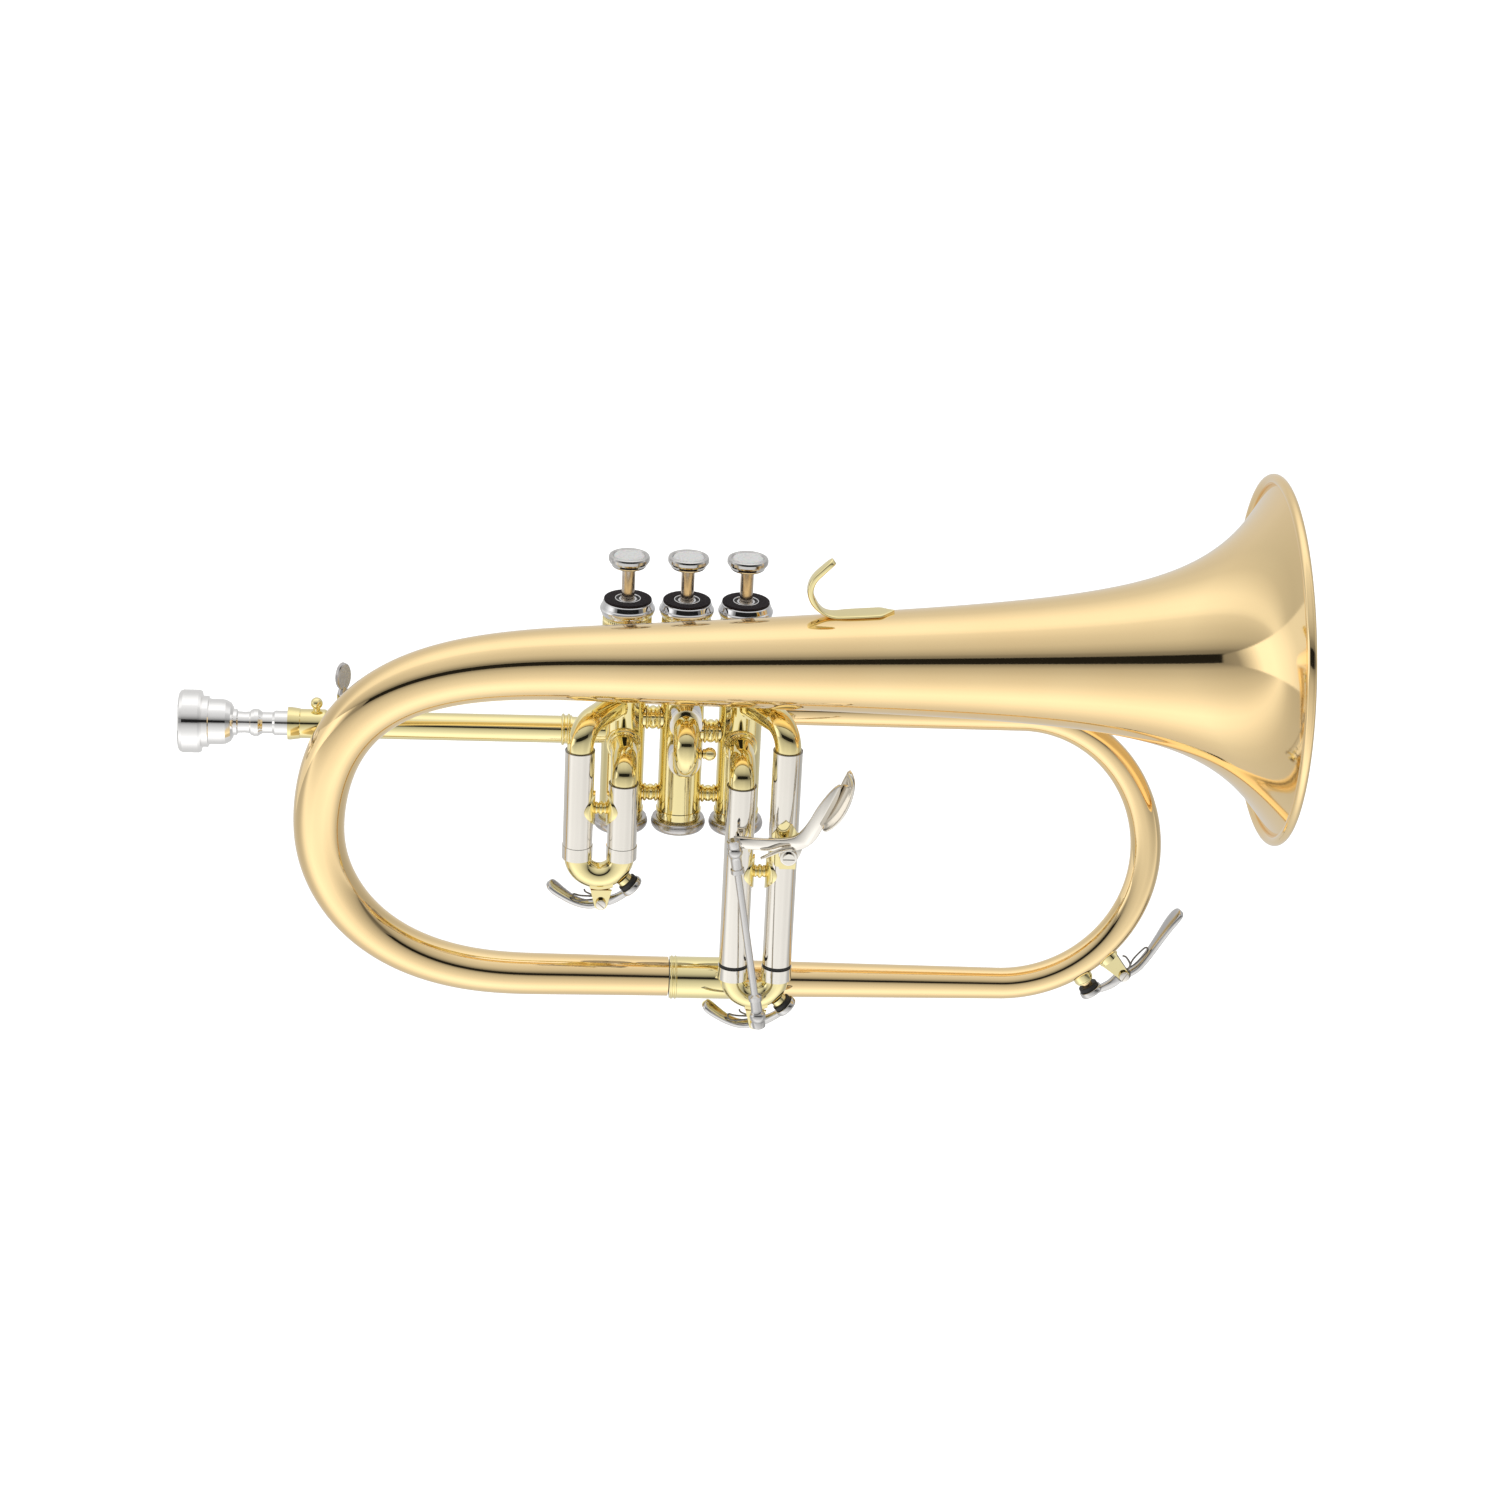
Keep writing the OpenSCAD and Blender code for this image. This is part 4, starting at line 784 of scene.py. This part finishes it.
def build_slide_key(x, bend_z, number, body, key_body):
    """Water key on a slide bow: spoon lever with cup, pad, spring and screw head."""
    centre = shift(x, SLIDE_Y, bend_z)
    out = Vector((math.cos(KEY_ANGLE), 0, math.sin(KEY_ANGLE)))
    seat = centre @ shift(*(out * KEY_SEAT)) @ turned_to(out)
    px, pz = KEY_PIVOT
    bm = bmesh.new()
    add_lathe(bm, CUP, seat, 64)
    spoon = [(3.0, -0.2, 4.4), (0, -1.0, 4.4), (-4, -1.9, 4.4), (-8, -1.4, 4.5), (-12, 0.3, 5.0),
             (-15.6, 2.7, 6.0), (-18.8, 5.2, 6.9), (-20.4, 6.6, 6.4), (-21.3, 7.4, 4.4), (-21.7, 7.8, 1.6)]
    path = along([(x + px + a, SLIDE_Y, bend_z + pz + b, w) for a, b, w in spoon], 4)
    add_strip(bm, path, 2.3, (0.22, 1, 0.28), curl=0.3)
    reach = KEY_SEAT + 3.9
    link = [(px, pz, 4.2), (px + 3.4, pz - 0.1, 3.4), (px + 7.0, pz + 1.4, 2.8),
            (reach * math.cos(KEY_ANGLE) - 1.0, reach * math.sin(KEY_ANGLE) - 1.2, 2.4),
            (reach * math.cos(KEY_ANGLE) + 0.6, reach * math.sin(KEY_ANGLE) + 0.4, 1.6)]
    curve = [(p[0], p[2], p[3]) for p in along([(a, 0, b, w) for a, b, w in link], 5)]
    add_plate(bm, outline(curve), -1.6, 1.6, 0.3, centre)
    hub = centre @ shift(px, 0, pz) @ turned_to((0, -1, 0))
    add_lathe(bm, HUB, hub, 40)
    make_piece("key%d_lever_spoon" % number, bm, key_body, "nickel", ("slide%d_key_lever" % number,), 50,
               "button_nickel")
    bm = bmesh.new()
    add_lathe(bm, PAD, seat, 64)
    make_piece("key%d_pad_cork" % number, bm, key_body, "rubber", ("slide%d_key_pad" % number,), 40)
    bm = bmesh.new()
    pivot = (x + px, SLIDE_Y, bend_z + pz)
    add_spring(bm, pivot, (x + px - 11.6, bend_z + pz + 1.6), (x + px - 7.0, bend_z + pz + 5.4), 2.6)
    make_piece("key%d_spring" % number, bm, body, "spring_steel", (), 60)
    bm = bmesh.new()
    add_screw(bm, centre @ key_screw_place(px, pz, -42), 2.1, 1.1)
    make_piece("key%d_screw" % number, bm, body, "nickel", (), 40)


def crook_place(angle, r):
    """Point of the crook's plane at an angle and radius from its bend centre, in the part's frame."""
    return Vector((BEND_X + r * math.cos(angle), 0, r * math.sin(angle)))


def build_bend_key():
    a = math.radians(-45.2)
    pivot = crook_place(a, 75.6)
    out = Vector((math.cos(math.radians(-57)), 0, math.sin(math.radians(-57))))
    seat = CROOK @ shift(*(Vector((BEND_X, 0, 0)) + out * 70.42)) @ turned_to(out)
    bm = bmesh.new()
    add_lathe(bm, CUP, seat, 64)
    spoon = [(-1.5, -1.5, 4.4), (2.4, 0.4, 4.4), (6.4, 3.4, 4.4), (10.4, 9.0, 4.6), (14.4, 15.8, 5.4),
             (18.0, 22.0, 6.8), (20.6, 25.8, 7.2), (22.2, 27.8, 5.6), (22.9, 28.6, 2.2)]
    across = (CROOK.to_3x3() @ Vector((-0.28, 1, 0.24))).normalized()
    path = []
    for x, _, z, w in along([(p, 0, q, w) for p, q, w in spoon], 4):
        v = CROOK @ Vector((pivot.x + x, 0, pivot.z + z))
        path.append((v.x, v.y, v.z, w))
    add_strip(bm, path, 2.4, across, curl=-0.3)
    tip = crook_place(math.radians(-57), 74.3)
    mid = crook_place(math.radians(-50.5), 76.0)
    link = [(pivot.x, 0, pivot.z, 4.2), (mid.x, 0, mid.z, 3.4), (tip.x, 0, tip.z, 2.0)]
    curve = [(p[0], p[2], p[3]) for p in along(link, 6)]
    add_plate(bm, outline(curve), -1.6, 1.6, 0.3, CROOK)
    hub = CROOK @ shift(*pivot) @ turned_to((0, -1, 0))
    add_lathe(bm, HUB, hub, 40)
    make_piece("bend_key_lever_spoon", bm, "bend_key", "nickel", ("bend_key_lever",), 50, "button_nickel")
    bm = bmesh.new()
    add_lathe(bm, PAD, seat, 64)
    make_piece("bend_key_pad_cork", bm, "bend_key", "rubber", ("bend_key_pad",), 40)
    bm = bmesh.new()
    foot = CROOK @ shift(*(Vector((BEND_X, 0, 0)) + out * (CROOK_HALF + 6.1))) @ turned_to(out)
    nipple = [(1.4, -1), (4.1, -1), (4.1, 2.3), (3.7, 2.6), (3.7, 3.2), (1.4, 3.2)]
    add_lathe(bm, rounded(nipple, 0.2), foot, 56)
    make_piece("bend_key_nipple", bm, "horn", "yellow_brass", (), 40)
    bm = bmesh.new()
    coil = [CROOK @ Vector((pivot.x + p, q, pivot.z + r)) for p, q, r in key_coil(120, 2.6)]
    add_wire(bm, coil, SPRING_R, 8)
    legs = [[(1.4, -2.2, 2.6), (4.8, -2.3, 5.2), (9.4, -2.3, 10.6), (8.6, -1.2, 12.0), (4.2, -0.8, 7.0),
             (2.6, -0.9, 3.4)],
            [(1.6, -2.6, 2.2), (2.4, -2.7, 5.0), (0.6, -2.6, 8.0), (-1.0, -2.2, 8.6)]]
    for leg in legs:
        bent = [CROOK @ Vector((pivot.x + p, q, pivot.z + r)) for p, q, r in leg]
        add_wire(bm, smooth_path(bent, 6), SPRING_R, 8)
    make_piece("bend_key_spring", bm, "horn", "spring_steel", (), 60)
    bm = bmesh.new()
    add_screw(bm, CROOK @ key_screw_place(pivot.x, pivot.z, 60), 2.1, 1.1)
    make_piece("bend_key_screw", bm, "horn", "nickel", (), 40)


ROD_TOP = (21.6, -46, -32.6)
ROD_FOOT = (34.4, -46, -108.3)


def build_trigger():
    """Trigger lever with its oval finger plate, and the spring leg under the pivot's boss."""
    bar = [(21.0, -30.3, 4.0), (24.2, -30.7, 4.9), (30.0, -31.2, 5.0), (36.0, -31.4, 5.2), (42.2, -31.3, 5.6),
           (47.6, -30.2, 6.4), (51.5, -27.2, 6.8), (54.6, -21.9, 6.2), (57.2, -16.2, 5.8), (60.2, -10.5, 4.8),
           (62.2, -6.6, 3.2), (63.6, -4.2, 1.0)]
    curve = [(p[0], p[2], p[3]) for p in along([(a, 0, b, w) for a, b, w in bar], 5)]
    bm = bmesh.new()
    add_plate(bm, outline(curve), -42.2, -40.0, 0.3)
    web = [Vector(q) for q in ((39.6, -31), (50, -31), (48.6, -36), (46.6, -39.2), (44, -40.2), (41.4, -39.2),
                               (39.8, -36))]
    add_plate(bm, web, -42.1, -40.1, 0.2)
    place = shift(44, -38.5, -36.4) @ turned_to((0, -1, 0))
    add_lathe(bm, rounded([(1.56, 0), (3.7, 0), (3.7, 4.6), (3.3, 4.9), (1.56, 4.9)], 0.25), place, 56)
    ball = shift(*ROD_TOP)
    stem = shift(21.6, -40.4, -32.6) @ turned_to((0, -1, 0))
    stud = [(0, -0.4), (2.6, -0.4), (2.6, 1.2), (1.2, 1.6), (1.2, 4.2), (0, 4.2)]
    add_lathe(bm, rounded(stud, 0.2), stem, 40)
    add_lathe(bm, globe(2.1, 0.0, 20), ball, 40, closed=False)
    plate = [(57.6, -23.4, 1.8), (58.4, -22.6, 4.6), (60.3, -20.0, 7.6), (62.6, -16.2, 9.8),
             (64.6, -11.8, 10.8), (66.3, -7.0, 10.6), (67.4, -2.6, 9.2), (67.7, 0.4, 6.8), (67.3, 2.4, 4.4),
             (66.7, 3.3, 1.8)]
    add_strip(bm, along([(a, -43.4, b, w) for a, b, w in plate], 5), 1.3, (-0.42, 1, 0.16), curl=0.6)
    make_piece("trigger_lever_bent", bm, "trigger", "nickel", ("trigger_lever",), 50)
    bm = bmesh.new()
    leaf = [(45.0, -31.8, 3.0), (43.0, -32.0, 3.0), (40.0, -32.7, 3.0), (36.6, -34.3, 2.8),
            (33.4, -35.9, 2.4), (32.4, -36.3, 1.2)]
    add_strip(bm, along([(a, -44.2, b, w) for a, b, w in leaf], 5), 0.8)
    make_piece("trigger_spring_leaf", bm, "trigger", "nickel", (), 50)


def build_rings():
    """Double ring where the leadpipe enters the first valve, the link rod with a socket at each end, and the
    beads and ball of the second slide's knob."""
    place = turned_to((1, 0, 0))
    bm = bmesh.new()
    for x, r in ((-49.2, 6.7), (-46.9, 6.7)):
        add_lathe(bm, bead(x, r, 0.8, 5.75) + [(5.75, x)], place, 72)
    make_piece("leadpipe_rings", bm, "horn", "yellow_brass", (), 40)
    run = Vector([top - foot for top, foot in zip(ROD_TOP, ROD_FOOT)])
    length = run.length
    rod = shift(*ROD_FOOT) @ turned_to(run)
    socket = [(3.3 * math.cos(math.radians(t)), 3.3 * math.sin(math.radians(t))) for t in range(-36, 46, 6)]
    neck = [(2.35, 3.3), (2.3, 7.6), (2.8, 7.8), (2.85, 9.7), (2.2, 10.2), (1.55, 10.6)]
    lower = [(0, -5.2), (2.3, -5.2), (2.75, -4.8), (2.8, -2.4)] + socket + neck
    upper = [(r, length - z) for r, z in lower[::-1]]
    bm = bmesh.new()
    add_lathe(bm, lower + upper, rod, 56)
    make_piece("link_rod_turned", bm, "slide_3", "satin_steel", ("link_rod",), 40, "rod_nickel")
    bm = bmesh.new()
    knob = shift(0.8, -29.6, 3.4) @ turned_to((1, 0, 0))
    for z, r in ((5.9, 2.6), (7.2, 2.2)):
        add_lathe(bm, bead(z, r, 0.65, 1.2) + [(1.2, z)], knob, 40)
    add_lathe(bm, globe(2.75, 9.6, 24), knob, 48, closed=False)
    make_piece("slide2_knob_beads", bm, "slide_2", "yellow_brass", (), 40)


def build_valve_springs():
    """Coil springs under the pistons."""
    for number, x in enumerate(VALVES, 1):
        turns, per_turn = 7, 24
        coil = []
        for k in range(turns * per_turn + 1):
            a = 2 * math.pi * k / per_turn
            coil.append((x + 5.2 * math.cos(a), 5.2 * math.sin(a), -40.5 + 29.0 * k / (turns * per_turn)))
        bm = bmesh.new()
        add_wire(bm, coil, 0.5, 8)
        cad_spring = "valve_spring_%d" % number
        piece = make_piece("valve_coil_%d" % number, bm, "horn", "spring_steel", (cad_spring,), 60)
        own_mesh(piece)


WING_TURN = 40


def build_wing_screw():
    """Thumb screw of the leadpipe clamp: turned neck and an oval paddle turned a little aside."""
    bm = bmesh.new()
    neck = [(0, 6.1), (1.24, 6.1), (1.24, 13.3), (2.3, 13.3), (2.4, 13.9), (1.75, 16.2), (1.3, 17.2),
            (1.25, 18.6), (0, 18.6)]
    add_lathe(bm, rounded(neck, 0.2), shift(-140, 0, 0), 48)
    edge = [Vector((3.5 * math.cos(k * math.pi / 24), 6 * math.sin(k * math.pi / 24))) for k in range(48)]
    turned = shift(-140, 0, 21.5) @ Matrix.Rotation(math.radians(WING_TURN), 4, "Z")
    add_plate(bm, edge, -1.1, 1.1, 0.35, turned)
    make_piece("wing_screw_turned", bm, "wing_screw", "nickel", ("wing_screw",), 40, "satin_nickel")


def build_leg_rings():
    """Thin dark ring where each elbow enters the top of its slide leg, as painted shade for the shadow in the
    joint.
    """
    for number, (x, node) in enumerate(((SLIDE1_X, "slide1_outer"), (SLIDE3_X, "slide3_outer")), 1):
        inward = LEG_HALF if x < 0 else -LEG_HALF
        corners = [1000 * (nodes[node].matrix_world @ v.co) for v in nodes[node].data.vertices]
        for leg, place in (("inner", x + inward), ("outer", x - inward)):
            z = max(v.z for v in corners if abs(v.x - place) < LEG_R + 0.5)
            low, high = LEG_R - 0.6, LEG_R + 0.06
            bm = bmesh.new()
            add_lathe(bm, rounded([(low, -0.2), (high, -0.2), (high, 0.06), (low, 0.06)], 0.05),
                      shift(place, SLIDE_Y, z), 72)
            # painted shade: the ring takes the dark spring steel finish to stand for the joint's shadow
            make_piece("slide%d_painted_shade_ring_%s" % (number, leg), bm, "horn", "nickel", (), 50, "spring_steel")


build_slide_braces()
build_casing_braces()
build_caps()
build_finger_hook()
build_slide_key(SLIDE1_X, -42.9, 1, "slide_1", "slide_1_key")
build_slide_key(SLIDE3_X, -97.6, 3, "slide_3", "slide_3_key")
build_bend_key()
build_trigger()
build_rings()
build_wing_screw()
build_leg_rings()
build_valve_springs()


# ---------------------------------------------------------------- carried-over CAD nodes

for name, node in nodes.items():
    node.data.materials.clear()
    grey = name.startswith("button") or name == "slide2_outer"
    finish = "button_nickel" if grey else finish_of(name)
    node.data.materials.append(MATERIALS[finish])


# ---------------------------------------------------------------- studio

PEAK = 1.3
# brightness seen by the horn, by height angle: 0 is level in front, 90 straight up, 180 level behind
SKY = [(-180, 0.70), (-155, 0.67), (-120, 0.64), (-100, 0.70), (-88, 0.80), (-77, 0.97), (-63, 1.19),
       (-52, 1.27), (-42, 1.17), (-35, 1.06), (-20, 0.85), (-6, 0.71), (1, 0.62), (8.6, 0.53), (12.6, 0.41),
       (17.3, 0.25), (29.6, 0.20), (34, 0.27), (37, 0.40), (44, 0.54), (51, 0.65), (66, 0.76), (80, 0.90),
       (85, 1.05), (92, 1.14), (103, 1.13), (109, 1.09), (123, 0.92), (137, 0.75), (155, 0.68), (180, 0.70)]
# brightness of the card on the mouthpiece side, from in front of the horn (-1) to behind it
SIDE_CARD = [(-1.0, 0.22), (-0.63, 0.32), (-0.46, 0.75), (-0.29, 1.25), (-0.14, 1.27), (0.02, 1.08),
             (0.17, 0.85), (0.6, 0.8)]


def build_world():
    """Wide soft light above and another below and in front, with a dark gap between them at the camera's
    height."""
    world = bpy.data.worlds.new("studio")
    bpy.context.scene.world = world
    world.use_nodes = True
    tree = world.node_tree
    tree.nodes.clear()
    way = put(tree, "ShaderNodeSeparateXYZ", Vector=put(tree, "ShaderNodeTexCoord").outputs["Generated"])
    x, y, z = way.outputs
    angle = calc(tree, "ARCTAN2", z, calc(tree, "MULTIPLY", y, -1.0))
    turn = calc(tree, "MULTIPLY_ADD", angle, 0.5 / math.pi, 0.5)
    glow = ramp(tree, turn, [((a + 180) / 360, v / PEAK) for a, v in SKY])
    glow = put(tree, "ShaderNodeRGBToBW", Color=glow).outputs[0]
    degrees = calc(tree, "MULTIPLY", angle, 180 / math.pi)
    gap = calc(tree, "MULTIPLY", span(tree, degrees, 17.2, 18.0), span(tree, degrees, 29.0, 29.8, 1.0, 0.0))
    wide = calc(tree, "ABSOLUTE", x)
    gap = calc(tree, "MULTIPLY", gap, span(tree, wide, 0.72, 0.75, 1.0, 0.0))
    glow = calc(tree, "MULTIPLY", glow, calc(tree, "MULTIPLY_ADD", gap, -0.93, 1.0))
    bell_side, mouth_side = span(tree, x, 0.25, 0.95, 1.0, 0.66), span(tree, x, -0.95, -0.45, 0.8, 1.0)
    falloff = calc(tree, "MULTIPLY", bell_side, mouth_side)
    glow = calc(tree, "MULTIPLY", glow, falloff)
    left = calc(tree, "LESS_THAN", x, 0.0)
    below = calc(tree, "SUBTRACT", calc(tree, "MULTIPLY_ADD", wide, 0.204, calc(tree, "MULTIPLY", y, -0.31)), z)
    above = calc(tree, "ADD", calc(tree, "MULTIPLY_ADD", wide, 0.196, calc(tree, "MULTIPLY", y, 0.51)), z)
    inside = calc(tree, "MULTIPLY", span(tree, below, 0, 0.012), span(tree, above, 0, 0.012))
    inside = calc(tree, "MULTIPLY", inside, calc(tree, "MULTIPLY", left, span(tree, wide, 0.71, 0.73)))
    reach = calc(tree, "DIVIDE", y, calc(tree, "MAXIMUM", wide, 0.02))
    card = ramp(tree, span(tree, reach, -1.0, 0.6), [((q + 1.0) / 1.6, v / PEAK) for q, v in SIDE_CARD])
    card = put(tree, "ShaderNodeRGBToBW", Color=card).outputs[0]
    glow = calc(tree, "ADD", calc(tree, "MULTIPLY", glow, calc(tree, "SUBTRACT", 1.0, inside)),
                calc(tree, "MULTIPLY", card, inside))
    strength = calc(tree, "MULTIPLY", glow, PEAK)
    background = put(tree, "ShaderNodeBackground", Color=(1.0, 0.995, 0.985, 1), Strength=strength)
    put(tree, "ShaderNodeOutputWorld", Surface=background.outputs[0])


def build_stage():
    """Pale floor that runs up into a plain pale backdrop. The lights reach the horn through the backdrop."""
    def glowing(name, colour, strength):
        material, tree, shader, coords = new_material(name)
        tone = noise(tree, coords, 0.8, 2.0)
        shade = mix(tree, tone, colour, tuple(0.995 * c for c in colour))
        tree.links.new(shade, shader.inputs["Base Color"])
        tree.links.new(shade, shader.inputs["Emission Color"])
        shader.inputs["Emission Strength"].default_value = strength
        shader.inputs["Roughness"].default_value = 1.0
        shader.inputs["Specular IOR Level"].default_value = 0.0
        return material

    low = cad_box[0].z - 0.42
    bm = bmesh.new()
    add_rings(bm, [[Vector((r / MM * math.cos(a), r / MM * math.sin(a), z / MM)) for a in
                    [2 * math.pi * k / 96 for k in range(96)]] for r, z in
                   [(0.001, 0), (4, 0), (8, 0), (11, 0), (13, 0.4), (14.6, 1.4), (15.6, 2.9), (16, 5), (15, 10),
                    (11, 14), (6, 16.4), (0.001, 17)]])
    mesh = bpy.data.meshes.new("floor_and_backdrop")
    bm.to_mesh(mesh)
    bm.free()
    for polygon in mesh.polygons:
        polygon.use_smooth = True
    floor = bpy.data.objects.new("floor_and_backdrop", mesh)
    bpy.context.scene.collection.objects.link(floor)
    floor.location = (0, 0, low)
    mesh.materials.append(glowing("pale_paper", (0.92, 0.92, 0.92), 0.62))
    floor.visible_glossy = False
    floor.visible_shadow = False
    floor.visible_diffuse = False


build_world()
build_stage()
bpy.context.scene.view_settings.view_transform = "Standard"
bpy.context.scene.view_settings.look = "None"
